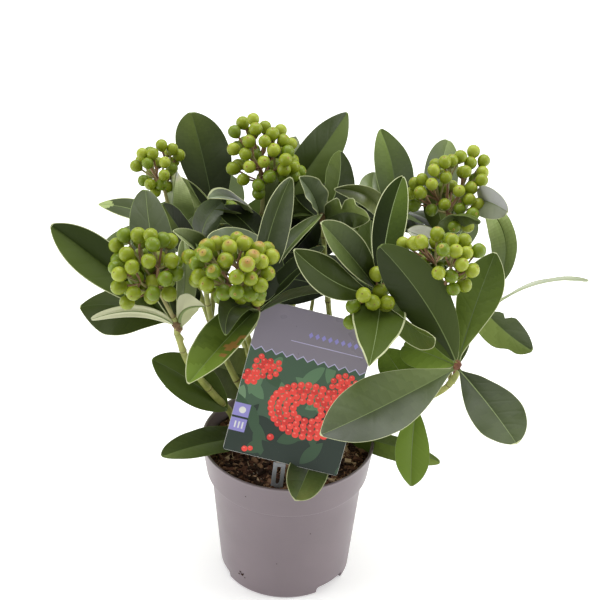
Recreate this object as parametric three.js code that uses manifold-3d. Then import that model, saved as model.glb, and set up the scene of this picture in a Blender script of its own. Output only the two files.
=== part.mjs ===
// Skimmia in a 12 cm nursery pot.
// Millimetres, +Z up, origin at the middle of the pot's underside.
// Pot, root ball, plant card on its stake, stems and boughs as tapering limbs,
// and the crown as uneven masses of foliage, one for each shoot.
import * as THREE from 'three';
import { mergeVertices } from 'three/addons/utils/BufferGeometryUtils.js';
import Module from 'manifold-3d';

const wasm = await Module();
wasm.setup();

// ---------------------------------------------------------------- sizes, mm
const GAP = 0.35;              // clearance between neighbouring pieces

const POT_HEIGHT = 105.2;
const POT_RIM_R = 58.8;        // outer radius at the rim
const POT_COLLAR_Z = 80.5;     // lower edge of the collar
const POT_COLLAR_R = 55.0;
const POT_BODY_R = 52.0;       // body just under the collar
const POT_FOOT_R = 44.6;
const POT_WALL = 1.5;
const POT_FLOOR = 7.0;         // inside floor height
const POT_CHANNEL = 4.6;       // height of the ring channel under the floor
const POT_SIDES = 24;
const NOTCH_WIDTH = 25;        // drainage notches in the foot ring
const NOTCH_HEIGHT = 5.4;
const NOTCH_ANGLES = [-43, 77, -163];   // degrees from +X
const DRAIN_R = 4;
const DRAIN_RING_R = 26;
const DRAIN_COUNT = 4;

const SOIL_Z = 96.3;           // top of the root ball
const SOIL_RELIEF = 1.4;
const STEM_FOOT_Z = 97.0;      // flat cut of every stem at ground level

const CARD_WIDTH = 77.5;
const CARD_HEIGHT = 105;
const CARD_THICK = 0.8;
const CARD_FOOT = [-4.7, -42.8, 116.1];  // middle of the card's lower edge
const CARD_LEAN = -17.6;       // degrees, top away from the front
const CARD_ROLL = 13.5;
const CARD_YAW = 1.8;
const STAKE_WIDTH = 12;
const STAKE_THICK = 1.0;
const STAKE_LENGTH = 34;       // from the card's lower edge into the root ball
const STAKE_LEAN = -5;         // degrees
const STAKE_ROLL = 5;

const LIMB_SIDES = 6;
const LOBE_THICK = 7;          // thickness of one lobe of foliage
const RAD = Math.PI / 180;

// ------------------------------------------------------------ small helpers
const V = (x, y, z) => new THREE.Vector3(x, y, z);
const vec = (a) => new THREE.Vector3(a[0], a[1], a[2]);

function wave(x, y, z, seed) {
  // smooth unevenness between -1 and 1
  return (Math.sin(2.1 * x + 1.7 * seed) + Math.sin(2.6 * y + 2.9 * seed + 1.1 * x)
    + Math.sin(2.3 * z + 0.7 * seed + 1.3 * y)) / 3;
}

function solid(geometry) {
  const g = geometry.clone();
  g.deleteAttribute('normal');
  g.deleteAttribute('uv');
  const m = mergeVertices(g, 1e-4);
  const pos = m.attributes.position.array;
  const idx = Array.from(m.index.array);
  let tris = [];
  for (let i = 0; i < idx.length; i += 3) {
    const [a, b, c] = [idx[i], idx[i + 1], idx[i + 2]];
    if (a !== b && b !== c && c !== a) tris.push(a, b, c);
  }
  let volume = 0;
  const p = (i) => V(pos[3 * i], pos[3 * i + 1], pos[3 * i + 2]);
  for (let i = 0; i < tris.length; i += 3) {
    volume += p(tris[i]).dot(p(tris[i + 1]).cross(p(tris[i + 2])));
  }
  if (volume < 0) {
    for (let i = 0; i < tris.length; i += 3) [tris[i], tris[i + 1]] = [tris[i + 1], tris[i]];
  }
  return new wasm.Manifold(new wasm.Mesh({
    numProp: 3,
    vertProperties: new Float32Array(pos),
    triVerts: new Uint32Array(tris),
  }));
}

function geometryOf(manifold) {
  const mesh = manifold.getMesh();
  const g = new THREE.BufferGeometry();
  const n = mesh.numProp;
  const count = mesh.vertProperties.length / n;
  const pos = new Float32Array(count * 3);
  for (let i = 0; i < count; i++) {
    for (let k = 0; k < 3; k++) pos[3 * i + k] = mesh.vertProperties[n * i + k];
  }
  g.setAttribute('position', new THREE.BufferAttribute(pos, 3));
  g.setIndex(Array.from(mesh.triVerts));
  g.computeVertexNormals();
  return g;
}

function largest(manifold) {
  const pieces = manifold.decompose();
  pieces.sort((a, b) => b.volume() - a.volume());
  return pieces[0];
}

function placed(geometry, origin, x, y, z) {
  const m = new THREE.Matrix4().makeBasis(x, y, z);
  m.setPosition(origin);
  return geometry.applyMatrix4(m);
}

// ---------------------------------------------------------------------- pot
function potSolid(grow = 0) {
  const outer = [
    [0, 0], [17, 0], [19, POT_CHANNEL], [35, POT_CHANNEL], [37, 0], [POT_FOOT_R - 0.8, 0],
    [POT_FOOT_R + grow, 1.0],
    [POT_BODY_R + grow, POT_COLLAR_Z - 1.2], [POT_COLLAR_R - 0.3 + grow, POT_COLLAR_Z - 0.4],
    [POT_COLLAR_R + 0.2 + grow, POT_COLLAR_Z + 1.0],
    [POT_RIM_R + grow, POT_HEIGHT - 0.8 + grow], [POT_RIM_R - 0.5 + grow, POT_HEIGHT + grow],
    [POT_RIM_R - POT_WALL - grow, POT_HEIGHT + grow], [POT_COLLAR_R + 0.2 - POT_WALL - grow, POT_COLLAR_Z + 1.0],
    [POT_BODY_R - POT_WALL - grow, POT_COLLAR_Z - 2.2],
    [POT_FOOT_R - 0.6 - POT_WALL - grow, POT_FLOOR + 1.5], [POT_FOOT_R - 2.6 - POT_WALL, POT_FLOOR],
    [0, POT_FLOOR],
  ].map(([r, z]) => new THREE.Vector2(r, z));
  const lathe = new THREE.LatheGeometry(outer, POT_SIDES);
  lathe.rotateX(Math.PI / 2);           // lathe axis Y becomes Z
  let body = solid(lathe);
  if (grow > 0) return body;
  for (const a of NOTCH_ANGLES) {
    const box = new THREE.BoxGeometry(16, NOTCH_WIDTH, NOTCH_HEIGHT * 2);
    box.translate(43.4, 0, 0);
    box.rotateZ(a * RAD);
    // the notch stays below the floor, so it opens only the foot ring and the channel
    body = body.subtract(solid(box));
  }
  for (let i = 0; i < DRAIN_COUNT; i++) {
    const hole = new THREE.CylinderGeometry(DRAIN_R, DRAIN_R, 12, 8);
    hole.rotateX(Math.PI / 2);
    hole.translate(DRAIN_RING_R, 0, POT_CHANNEL + 2);
    hole.rotateZ((45 + (360 / DRAIN_COUNT) * i) * RAD);
    body = body.subtract(solid(hole));
  }
  return body;
}

// ---------------------------------------------------------------- root ball
function rootBallSolid(grow = 0) {
  const c = 0.5 - grow;                 // clearance to the pot's inside
  const profile = [
    [0, POT_FLOOR + 0.4], [POT_FOOT_R - 3.2 - POT_WALL - c, POT_FLOOR + 0.4],
    [POT_FOOT_R - 1.2 - POT_WALL - c, POT_FLOOR + 2.4],
    [POT_BODY_R - POT_WALL - 0.4 - c, POT_COLLAR_Z - 2.6],
    [POT_COLLAR_R - POT_WALL + 1.4 - c, SOIL_Z - 1.5 + grow], [38, SOIL_Z + grow], [20, SOIL_Z + grow], [0, SOIL_Z + grow],
  ].map(([r, z]) => new THREE.Vector2(r, z));
  const lathe = new THREE.LatheGeometry(profile, 16);
  lathe.rotateX(Math.PI / 2);
  const p = lathe.attributes.position;
  for (let i = 0; i < p.count; i++) {
    if (p.getZ(i) > SOIL_Z - 2) {
      const x = p.getX(i), y = p.getY(i);
      p.setZ(i, p.getZ(i) - SOIL_RELIEF * (0.5 + 0.5 * wave(x / 13, y / 13, 0, 3)) + 0.0 * grow);
    }
  }
  return solid(lathe);
}

// --------------------------------------------------------- plant card, stake
const cardTurn = new THREE.Matrix4().makeRotationZ(CARD_YAW * RAD)
  .multiply(new THREE.Matrix4().makeRotationX(CARD_LEAN * RAD))
  .multiply(new THREE.Matrix4().makeRotationY(CARD_ROLL * RAD));
cardTurn.setPosition(vec(CARD_FOOT));

function cardSolid(grow = 0) {
  const g = new THREE.BoxGeometry(CARD_WIDTH + 2 * grow, CARD_THICK + 2 * grow, CARD_HEIGHT + 2 * grow);
  g.translate(0, 0, CARD_HEIGHT / 2);
  return solid(g.applyMatrix4(cardTurn));
}

const stakeTurn = new THREE.Matrix4().makeRotationX(STAKE_LEAN * RAD)
  .multiply(new THREE.Matrix4().makeRotationY(STAKE_ROLL * RAD));
stakeTurn.setPosition(vec(CARD_FOOT));

function stakeSolid(grow = 0) {
  const w = STAKE_WIDTH / 2 + grow, top = 3, foot = -STAKE_LENGTH;
  const s = new THREE.Shape();
  s.moveTo(-w, top); s.lineTo(-w, foot + 11); s.lineTo(-1.5 - grow, foot - grow);
  s.lineTo(1.5 + grow, foot - grow); s.lineTo(w, foot + 11); s.lineTo(w, top); s.closePath();
  const g = new THREE.ExtrudeGeometry(s, { depth: STAKE_THICK + 2 * grow, bevelEnabled: false });
  g.rotateX(Math.PI / 2);               // shape plane XY becomes XZ, depth goes to -Y
  g.translate(0, STAKE_THICK / 2 + grow, 0);
  return solid(g.applyMatrix4(stakeTurn));
}

// -------------------------------------------------------------------- limbs
// Each limb is one tapering tube along a smooth curve, with a flat foot.
function limbGeometry(path, r0, r1, flare = 0, grow = 0) {
  const curve = new THREE.CatmullRomCurve3(path.map(vec), false, 'centripetal');
  const steps = Math.max(3, Math.min(7, Math.round(curve.getLength() / 22)));
  const g = new THREE.CylinderGeometry(1, 1, 1, LIMB_SIDES, steps);
  const pos = g.attributes.position;
  for (let i = 0; i < pos.count; i++) {
    const t = Math.min(1, Math.max(0, pos.getY(i) + 0.5));
    const c = curve.getPointAt(t);
    const d = curve.getTangentAt(t);
    if (flare > 0 && t < 1e-6) d.set(0, 0, 1);   // flat cut at ground level
    const u = V(0, 1, 0).cross(d).normalize();
    const v = d.clone().cross(u);
    const r = r0 + (r1 - r0) * t + flare * Math.max(0, 1 - t * 7) + grow;
    const q = c.add(u.multiplyScalar(pos.getX(i) * r)).add(v.multiplyScalar(pos.getZ(i) * r));
    pos.setXYZ(i, q.x, q.y, q.z);
  }
  return g;
}

// name, path, foot radius, tip radius, flare
const LIMBS = [
  ['stem_left', [[-35, 14, 97], [-39, 8, 117], [-51, -9, 146], [-66, -26, 182], [-72, -38, 212]], 2.8, 2.3, 1.5],
  ['stem_middle', [[-12, 12, 97], [-15, 13, 125], [-20, 26, 170], [-22, 42, 212], [-22, 49, 236]], 4.6, 2.4, 2.0],
  ['stem_right', [[14, 10, 97], [19, 10, 125], [34, 20, 170], [52, 33, 215], [60, 39, 240]], 4.4, 2.4, 2.0],
  ['bough_back_left', [[-14, 13, 112], [-31, 11, 134], [-44, 16, 158], [-64, 30, 205], [-77, 39, 236]], 3.0, 2.2, 0],
  ['bough_front_centre', [[-15, 12, 118], [-20, 8, 150], [-29, -8, 195], [-26, -34, 224]], 2.7, 2.2, 0],
  ['bough_rear_left', [[-15, 14, 128], [-30, 38, 150], [-46, 72, 176], [-55, 92, 196]], 2.7, 2.0, 0],
  ['bough_rear_middle', [[-17, 17, 142], [-8, 44, 160], [6, 78, 182], [14, 100, 205]], 2.7, 2.0, 0],
  ['bough_right_centre', [[18, 10, 116], [30, 4, 150], [44, -14, 195], [54, -28, 234]], 3.0, 2.2, 0],
  ['bough_front_right', [[17, 10, 108], [44, -6, 128], [76, -36, 160], [98, -58, 190], [104, -64, 205]], 3.2, 2.4, 0],
  ['bough_back_right', [[22, 12, 132], [50, 18, 160], [78, 32, 198], [98, 43, 229]], 2.9, 2.2, 0],
  ['bough_rear_right', [[26, 15, 146], [46, 42, 157], [74, 72, 171], [98, 88, 184]], 2.7, 2.0, 0],
];

// ------------------------------------------------------------------- masses
// A lobe is a thick blade that runs out from a shoot: azimuth from +X and
// elevation in degrees, roll of the blade about its own axis, reach, width and bow in mm.
function lobeGeometry(from, l, grow) {
  const profile = l.reach > 75
    ? [[0, 0], [0.66, 0.22], [1, 0.56], [0.72, 0.84], [0, 1]]
    : [[0, 0], [0.9, 0.36], [0.86, 0.74], [0, 1]];
  const w = l.width / 2 + grow, th = (l.thick ?? LOBE_THICK) / 2 + grow, reach = l.reach + grow;
  const g = new THREE.LatheGeometry(profile.map(([x, y]) => new THREE.Vector2(x, y)), 6);
  g.scale(w, reach, th);
  const p = g.attributes.position;
  for (let i = 0; i < p.count; i++) {
    const t = p.getY(i) / reach;
    p.setZ(i, p.getZ(i) + (l.bow ?? 0) * 4 * t * (1 - t));
  }
  const el = l.el * RAD, az = l.az * RAD;
  const d = V(Math.cos(el) * Math.cos(az), Math.cos(el) * Math.sin(az), Math.sin(el));
  const up = V(0, 0, 1).addScaledVector(d, -d.z).normalize();
  const s = d.clone().cross(up);
  const n = up.multiplyScalar(Math.cos((l.roll ?? 0) * RAD)).addScaledVector(s, Math.sin((l.roll ?? 0) * RAD));
  return placed(g, from, d.clone().cross(n), d, n);
}

function ball(centre, radii, seed, grow, rough = 0.10, detail = 1) {
  const g = new THREE.IcosahedronGeometry(1, detail);
  const p = g.attributes.position;
  for (let i = 0; i < p.count; i++) {
    const q = V(p.getX(i), p.getY(i), p.getZ(i)).normalize();
    const k = 1 + rough * wave(q.x * 1.6, q.y * 1.6, q.z * 1.6, seed);
    p.setXYZ(i, centre[0] + q.x * (radii[0] * k + grow), centre[1] + q.y * (radii[1] * k + grow),
      centre[2] + q.z * (radii[2] * k + grow));
  }
  return g;
}

function towards(a, b, width) {
  // a neck of foliage from one point to another
  const d = vec(b).sub(vec(a));
  return {
    from: a, az: Math.atan2(d.y, d.x) / RAD, el: Math.asin(d.z / d.length()) / RAD,
    roll: 0, reach: d.length() + 6, width, thick: width,
  };
}

// a ring of lobes spread evenly round a shoot, for sides with no lobe of their own
function fan(count, azStart, azSpan, el, reach, width, seed) {
  return Array.from({ length: count }, (_, i) => ({
    az: azStart + (azSpan * (i + 0.5)) / count + 6 * Math.sin(3.7 * i + seed),
    el: el + 12 * Math.sin(2.3 * i + 1.9 * seed),
    roll: 14 * Math.sin(1.7 * i + seed), reach: reach * (1 + 0.09 * Math.sin(4.1 * i + seed)), width,
    bow: 5,
  }));
}

const MASSES = [
  { name: 'foliage_front_left', node: [-72, -40, 220], core: [19, 18, 14], head: [[-88, -45, 263], [23, 22, 22]],
    lobes: [
      { az: 166, el: 34, roll: -23, reach: 103, width: 30 }, { az: -150, el: 18, roll: -22, reach: 60, width: 27 },
      { az: 157, el: -6, roll: -36, reach: 65, width: 27, bow: 5 }, { az: 110, el: 43, roll: 7, reach: 90, width: 26 },
      { az: -50, el: 46, roll: -75, reach: 46, width: 20 }, { az: 89, el: 34, roll: 55, reach: 58, width: 20 },
      { az: 119, el: -9, roll: 17, reach: 58, width: 21, bow: 5 },
    ] },
  { name: 'foliage_front_right', node: [104, -65, 212], core: [17, 16, 13], head: [[93, -37, 267], [23, 22, 22]],
    lobes: [
      { az: -147, el: -10, roll: -45, reach: 98, width: 32 }, { az: -60, el: -12, roll: 35, reach: 72, width: 32 },
      { az: 163, el: 56, roll: -51, reach: 92, width: 32 }, { az: 69, el: 27, roll: -11, reach: 86, width: 32 },
      { az: 131, el: -12, roll: -34, reach: 50, width: 23 }, { az: 37, el: 16, roll: 126, reach: 105, width: 22, bow: -12 },
    ] },
  { name: 'foliage_front_centre', node: [-22, -45, 237], core: [17, 16, 13], head: [[-36, -55, 272], [24, 23, 21]],
    lobes: [
      { az: -121, el: -9, roll: -20, reach: 80, width: 30 }, { az: -110, el: 11, roll: -30, reach: 50, width: 26, bow: 6 },
      { az: 73, el: 40, roll: 66, reach: 90, width: 26 }, { az: 61, el: 19, roll: -20, reach: 84, width: 25, bow: 5 },
      { az: 49, el: -17, roll: 90, reach: 70, width: 24 },
    ] },
  { name: 'foliage_right_centre', node: [56, -30, 242], core: [16, 15, 13], head: [[49, -44, 243], [16, 14, 18]],
    lobes: [
      { az: 79, el: 27, roll: 43, reach: 90, width: 27 }, { az: -154, el: 34, roll: -59, reach: 80, width: 28 },
      { az: -159, el: 55, roll: -53, reach: 72, width: 26 }, { az: -97, el: -10, roll: -4, reach: 65, width: 30 },
      { az: -59, el: -13, roll: 55, reach: 58, width: 22 }, { az: 97, el: 20, roll: 19, reach: 60, width: 20 },
    ] },
  { name: 'foliage_back_left', node: [-64, 34, 237], core: [24, 27, 14], head: [[-89, 50, 282], [19, 18, 20]],
    lobes: [
      { from: [-79, 40, 243], az: -77, el: 74, roll: -11, reach: 55, width: 20 },
      { from: [-79, 40, 243], az: 140, el: -8, roll: -21, reach: 75, width: 24 },
      { from: [-49, 55, 231], az: 111, el: 41, roll: -32, reach: 90, width: 36 },
      { from: [-58, 8, 239], az: -132, el: 50, roll: -62, reach: 45, width: 20 },
      { from: [-58, 8, 239], az: 81, el: 20, roll: 44, reach: 60, width: 25 },
      { az: 178, el: -22, reach: 62, width: 26, bow: 4 }, { az: 118, el: 4, reach: 72, width: 27, bow: 5 },
    ] },
  { name: 'foliage_back_centre', node: [-8, 40, 243], core: [27, 25, 14], head: [[-23, 55, 292], [23, 22, 24]],
    lobes: [
      { from: [-22, 50, 243], az: -153, el: 39, roll: -24, reach: 50, width: 23, bow: 5 },
      { from: [-22, 50, 243], az: 41, el: 40, roll: 57, reach: 96, width: 32 },
      { from: [-22, 50, 243], az: 69, el: 31, roll: 41, reach: 70, width: 22, bow: 6 },
      { from: [14, 32, 252], az: -159, el: 60, roll: -52, reach: 44, width: 20 },
      { from: [14, 32, 252], az: 77, el: 20, roll: 33, reach: 60, width: 27, bow: 4 },
      { from: [14, 32, 252], az: -41, el: 21, roll: 80, reach: 46, width: 20 },
      { from: [-16, 16, 246], az: -147, el: 34, roll: -37, reach: 52, width: 22 },
    ] },
  { name: 'foliage_inner_right', node: [61, 40, 248], core: [15, 15, 12],
    lobes: [
      { az: -157, el: 41, roll: -36, reach: 52, width: 25 }, { az: 93, el: 26, roll: -21, reach: 80, width: 28, bow: 4 },
      { az: 99, el: 8, roll: 5, reach: 55, width: 20 }, { az: 30, el: -14, reach: 50, width: 24, bow: 4 },
    ] },
  { name: 'foliage_back_right', node: [103, 46, 238], core: [19, 18, 14], head: [[101, 55, 270], [24, 22, 25]],
    lobes: [
      { az: -40, el: -38, roll: 35, reach: 95, width: 30 }, { az: 87, el: 24, roll: 8, reach: 85, width: 26, bow: 4 },
      { from: [118, 52, 262], az: -77, el: 6, roll: 56, reach: 42, width: 26 },
      { from: [118, 52, 258], az: -75, el: -37, roll: 60, reach: 66, width: 27, bow: -5 },
      { az: -148, el: 24, roll: -55, reach: 36, width: 18 }, { az: -69, el: 26, roll: 60, reach: 44, width: 30 },
      { az: 80, el: -6, roll: -21, reach: 72, width: 27, bow: 5 }, { az: 119, el: -9, roll: 10, reach: 60, width: 22, bow: 5 },
      { az: 145, el: 24, roll: -17, reach: 62, width: 22, bow: 3 },
    ] },
  { name: 'foliage_rear_left', node: [-56, 95, 198], core: [17, 17, 13], head: [[-60, 108, 224], [18, 18, 14]],
    lobes: [
      { az: 20, el: 24, roll: 30, reach: 75, width: 27 }, { az: 46, el: -13, roll: -20, reach: 67, width: 25, bow: 5 },
      { az: 153, el: 4, roll: 11, reach: 80, width: 29, bow: 4 }, { az: 98, el: -25, roll: -9, reach: 75, width: 29, bow: 4 },
      { az: 205, el: 0, roll: 14, reach: 75, width: 30, bow: 5 }, { az: 87, el: 9, roll: 16, reach: 84, width: 31, bow: 6 },
      { az: 174, el: -27, roll: 14, reach: 72, width: 27, bow: 6 },
    ] },
  { name: 'foliage_rear_middle', node: [18, 104, 202], core: [17, 17, 13], head: [[20, 118, 228], [19, 18, 14]],
    lobes: [
      { az: 82, el: 19, roll: 15, reach: 80, width: 28, bow: 4 }, { az: 132, el: -5, roll: 10, reach: 76, width: 29, bow: 2 },
      { az: 69, el: -20, roll: -3, reach: 74, width: 28, bow: 3 }, { az: 22, el: -3, roll: -21, reach: 75, width: 29, bow: 5 },
      { az: 128, el: 38, roll: 21, reach: 72, width: 25, bow: 5 }, { az: -22, el: 32, roll: 30, reach: 72, width: 25, bow: 3 },
    ] },
  { name: 'foliage_rear_right', node: [102, 90, 186], core: [16, 16, 12], head: [[106, 102, 206], [15, 15, 13]],
    lobes: [
      { az: 96, el: -30, roll: 11, reach: 69, width: 24, bow: 6 }, { az: 38, el: -36, roll: -17, reach: 65, width: 24, bow: 3 },
      { az: 80, el: 8, roll: -40, reach: 68, width: 24, bow: 3 }, { az: -21, el: -22, roll: -10, reach: 71, width: 26, bow: 6 },
      { az: 137, el: -34, roll: 2, reach: 72, width: 27, bow: 5 }, { az: 127, el: 24, roll: 29, reach: 66, width: 24, bow: 6 },
    ] },
  { name: 'foliage_low_left', node: [-42, -4, 130], core: [8, 8, 7],
    lobes: [
      { az: -157, el: 44, roll: -63, reach: 75, width: 32, from: [-41, -1, 127] },
      { az: 150, el: -2, roll: 0, reach: 52, width: 24, bow: 4 },
    ] },
  { name: 'foliage_low_front_left', node: [-20, 1, 107.5], core: [7, 7, 4.5],
    lobes: [{ az: -144, el: 6, roll: -12, reach: 78, width: 29, thick: 4 }] },
  { name: 'foliage_low_front', node: [22, -8, 111], core: [7, 7, 5],
    lobes: [{ az: -103, el: -3, roll: -14, reach: 66, width: 32, thick: 4 }] },
  { name: 'foliage_low_right', node: [36, 6, 108.5], core: [8, 8, 5],
    lobes: [{ az: -31, el: 3, roll: 30, reach: 78, width: 28, thick: 4 }, { az: 40, el: 6, reach: 62, width: 26, thick: 5, bow: 4 }] },
  { name: 'foliage_under_right', node: [82, -45, 171], core: [9, 9, 8],
    lobes: [{ az: 121, el: 19, roll: -12, reach: 45, width: 23 }, { az: -95, el: -26, roll: 0, reach: 62, width: 22 }] },
  { name: 'foliage_low_rear', node: [-6, 34, 116], core: [10, 9, 7],
    lobes: fan(4, 20, 160, 10, 68, 27, 6) },
];

function massSolid(m, index, grow = 0) {
  let s = solid(ball(m.node, m.core, index + 1, grow, 0.12, 0));
  if (m.head) {
    s = s.add(solid(ball(m.head[0], m.head[1], index + 5, grow, 0.07)));
    const neck = towards(m.node, m.head[0], 16);
    s = s.add(solid(lobeGeometry(vec(m.node), neck, grow)));
  }
  for (const l of m.lobes) s = s.add(solid(lobeGeometry(vec(l.from ?? m.node), l, grow)));
  return s;
}

// ----------------------------------------------------------------- assembly
const group = new THREE.Group();
group.name = 'potted_skimmia';
const MATERIALS = {
  pot: [0x8d8487, 0.55, 0], soil: [0x2c1a12, 0.95, 0], card: [0x3b5a3a, 0.35, 0], stake: [0xc9cdd2, 0.3, 0],
  bark: [0x6f8a3e, 0.7, 0], leaf: [0x3f5f2e, 0.5, 0],
};
function addPiece(name, manifold, kind) {
  const [color, roughness, metalness] = MATERIALS[kind];
  const mesh = new THREE.Mesh(geometryOf(manifold), new THREE.MeshStandardMaterial({ color, roughness, metalness }));
  mesh.name = name;
  group.add(mesh);
}

const stake = largest(stakeSolid().subtract(cardSolid(GAP)));
const pot = potSolid();
const rootBall = rootBallSolid().subtract(stakeSolid(GAP));
addPiece('pot', pot, 'pot');
addPiece('root_ball', rootBall, 'soil');
addPiece('plant_card', cardSolid(), 'card');
addPiece('card_stake', stake, 'stake');

// limbs: each is cut clear of the ones before it, so a bough meets its stem with a small gap
const grownLimbs = [];
for (const [name, path, r0, r1, flare] of LIMBS) {
  let limb = solid(limbGeometry(path, r0, r1, flare));
  for (const g of grownLimbs) limb = limb.subtract(g);
  limb = limb.subtract(cardSolid(GAP)).subtract(stakeSolid(GAP));
  addPiece(name, largest(limb), 'bark');
  grownLimbs.push(solid(limbGeometry(path, r0, r1, flare, GAP)));
}

// masses: cut clear of pot, root ball, card, stake, limbs and the masses before them
const fixed = [potSolid(GAP), rootBallSolid(GAP), cardSolid(GAP), stakeSolid(GAP), ...grownLimbs];
const grownMasses = [];
MASSES.forEach((m, index) => {
  let s = massSolid(m, index);
  for (const g of [...fixed, ...grownMasses]) s = s.subtract(g);
  addPiece(m.name, largest(s), 'leaf');
  grownMasses.push(massSolid(m, index, GAP));
});

export default group;
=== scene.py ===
# Looks of the potted skimmia: leaves, fruit, stalks, bark, pot, growing medium and card,
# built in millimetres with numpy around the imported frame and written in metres.
import bpy
import math
import numpy as np
from mathutils import Matrix, Vector


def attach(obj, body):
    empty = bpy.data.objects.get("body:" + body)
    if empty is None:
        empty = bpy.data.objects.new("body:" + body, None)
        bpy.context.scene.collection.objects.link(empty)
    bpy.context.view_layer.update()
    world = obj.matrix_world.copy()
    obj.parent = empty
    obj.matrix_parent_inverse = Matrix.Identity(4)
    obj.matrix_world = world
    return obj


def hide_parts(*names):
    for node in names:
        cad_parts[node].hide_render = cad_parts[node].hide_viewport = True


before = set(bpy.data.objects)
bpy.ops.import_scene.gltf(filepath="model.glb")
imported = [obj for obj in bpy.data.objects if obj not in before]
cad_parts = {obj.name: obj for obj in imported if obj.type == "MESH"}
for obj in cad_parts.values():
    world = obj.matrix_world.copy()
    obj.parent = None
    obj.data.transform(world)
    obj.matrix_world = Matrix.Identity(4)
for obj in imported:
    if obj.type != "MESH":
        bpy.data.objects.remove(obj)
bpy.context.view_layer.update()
MM = 0.001
RAD = math.pi / 180.0


def vec(*a):
    return np.array(a, float)


def unit(v):
    return v / max(np.linalg.norm(v), 1e-12)


# ------------------------------------------------------------------ materials
def lin(r, g, b):
    """A colour given as 0-255 display values, as linear numbers."""
    f = lambda c: c / 12.92 if c <= 0.04045 else ((c + 0.055) / 1.055) ** 2.4
    return tuple(f(x / 255.0) for x in (r, g, b)) + (1.0,)


def material(name, base, rough=0.5, rough_span=0.0, rough_scale=60.0, spec=0.5, coat=0.0, coat_rough=0.2,
             bumps=(), mottles=(), mottle_scale=40.0, mottle_detail=3.0, sss=0.0, sss_radius=(1, 1, 1), sss_scale=0.002,
             transmission=0.0, ior=None, sheen=0.0, stretch=None):
    m = bpy.data.materials.new(name)
    m.use_nodes = True
    nt = m.node_tree
    nt.nodes.clear()
    out = nt.nodes.new("ShaderNodeOutputMaterial")
    p = nt.nodes.new("ShaderNodeBsdfPrincipled")
    nt.links.new(p.outputs["BSDF"], out.inputs["Surface"])
    p.inputs["Base Color"].default_value = base
    p.inputs["Roughness"].default_value = rough
    p.inputs["Specular IOR Level"].default_value = spec
    p.inputs["Coat Weight"].default_value = coat
    p.inputs["Coat Roughness"].default_value = coat_rough
    p.inputs["Sheen Weight"].default_value = sheen
    if ior:
        p.inputs["IOR"].default_value = ior
    if sss:
        p.inputs["Subsurface Weight"].default_value = sss
        p.inputs["Subsurface Radius"].default_value = sss_radius
        p.inputs["Subsurface Scale"].default_value = sss_scale
    p.inputs["Transmission Weight"].default_value = transmission
    coord = nt.nodes.new("ShaderNodeTexCoord")
    where = coord.outputs["Object"]
    if stretch:
        mapping = nt.nodes.new("ShaderNodeMapping")
        mapping.inputs["Scale"].default_value = stretch
        nt.links.new(where, mapping.inputs["Vector"])
        where = mapping.outputs["Vector"]

    def noise(scale, detail, roughness=0.5):
        n = nt.nodes.new("ShaderNodeTexNoise")
        n.inputs["Scale"].default_value = scale
        n.inputs["Detail"].default_value = detail
        n.inputs["Roughness"].default_value = roughness
        nt.links.new(where, n.inputs["Vector"])
        return n.outputs["Fac"]

    if mottles:
        ramp = nt.nodes.new("ShaderNodeValToRGB")
        stops = ramp.color_ramp
        stops.elements[0].position, stops.elements[0].color = mottles[0]
        stops.elements[1].position, stops.elements[1].color = mottles[-1]
        for pos, col in mottles[1:-1]:
            stops.elements.new(pos).color = col
        nt.links.new(noise(mottle_scale, mottle_detail), ramp.inputs["Fac"])
        nt.links.new(ramp.outputs["Color"], p.inputs["Base Color"])
    if rough_span:
        mr = nt.nodes.new("ShaderNodeMapRange")
        mr.inputs["From Min"].default_value, mr.inputs["From Max"].default_value = 0.3, 0.7
        mr.inputs["To Min"].default_value, mr.inputs["To Max"].default_value = rough - rough_span, rough + rough_span
        nt.links.new(noise(rough_scale, 3), mr.inputs["Value"])
        nt.links.new(mr.outputs["Result"], p.inputs["Roughness"])
    last = None
    for scale, detail, distance, strength in bumps:
        b = nt.nodes.new("ShaderNodeBump")
        b.inputs["Distance"].default_value = distance
        b.inputs["Strength"].default_value = strength
        nt.links.new(noise(scale, detail, 0.6), b.inputs["Height"])
        if last is not None:
            nt.links.new(last, b.inputs["Normal"])
        last = b.outputs["Normal"]
    if last is not None:
        nt.links.new(last, p.inputs["Normal"])
        if coat:
            nt.links.new(last, p.inputs["Coat Normal"])
    return m


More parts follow.
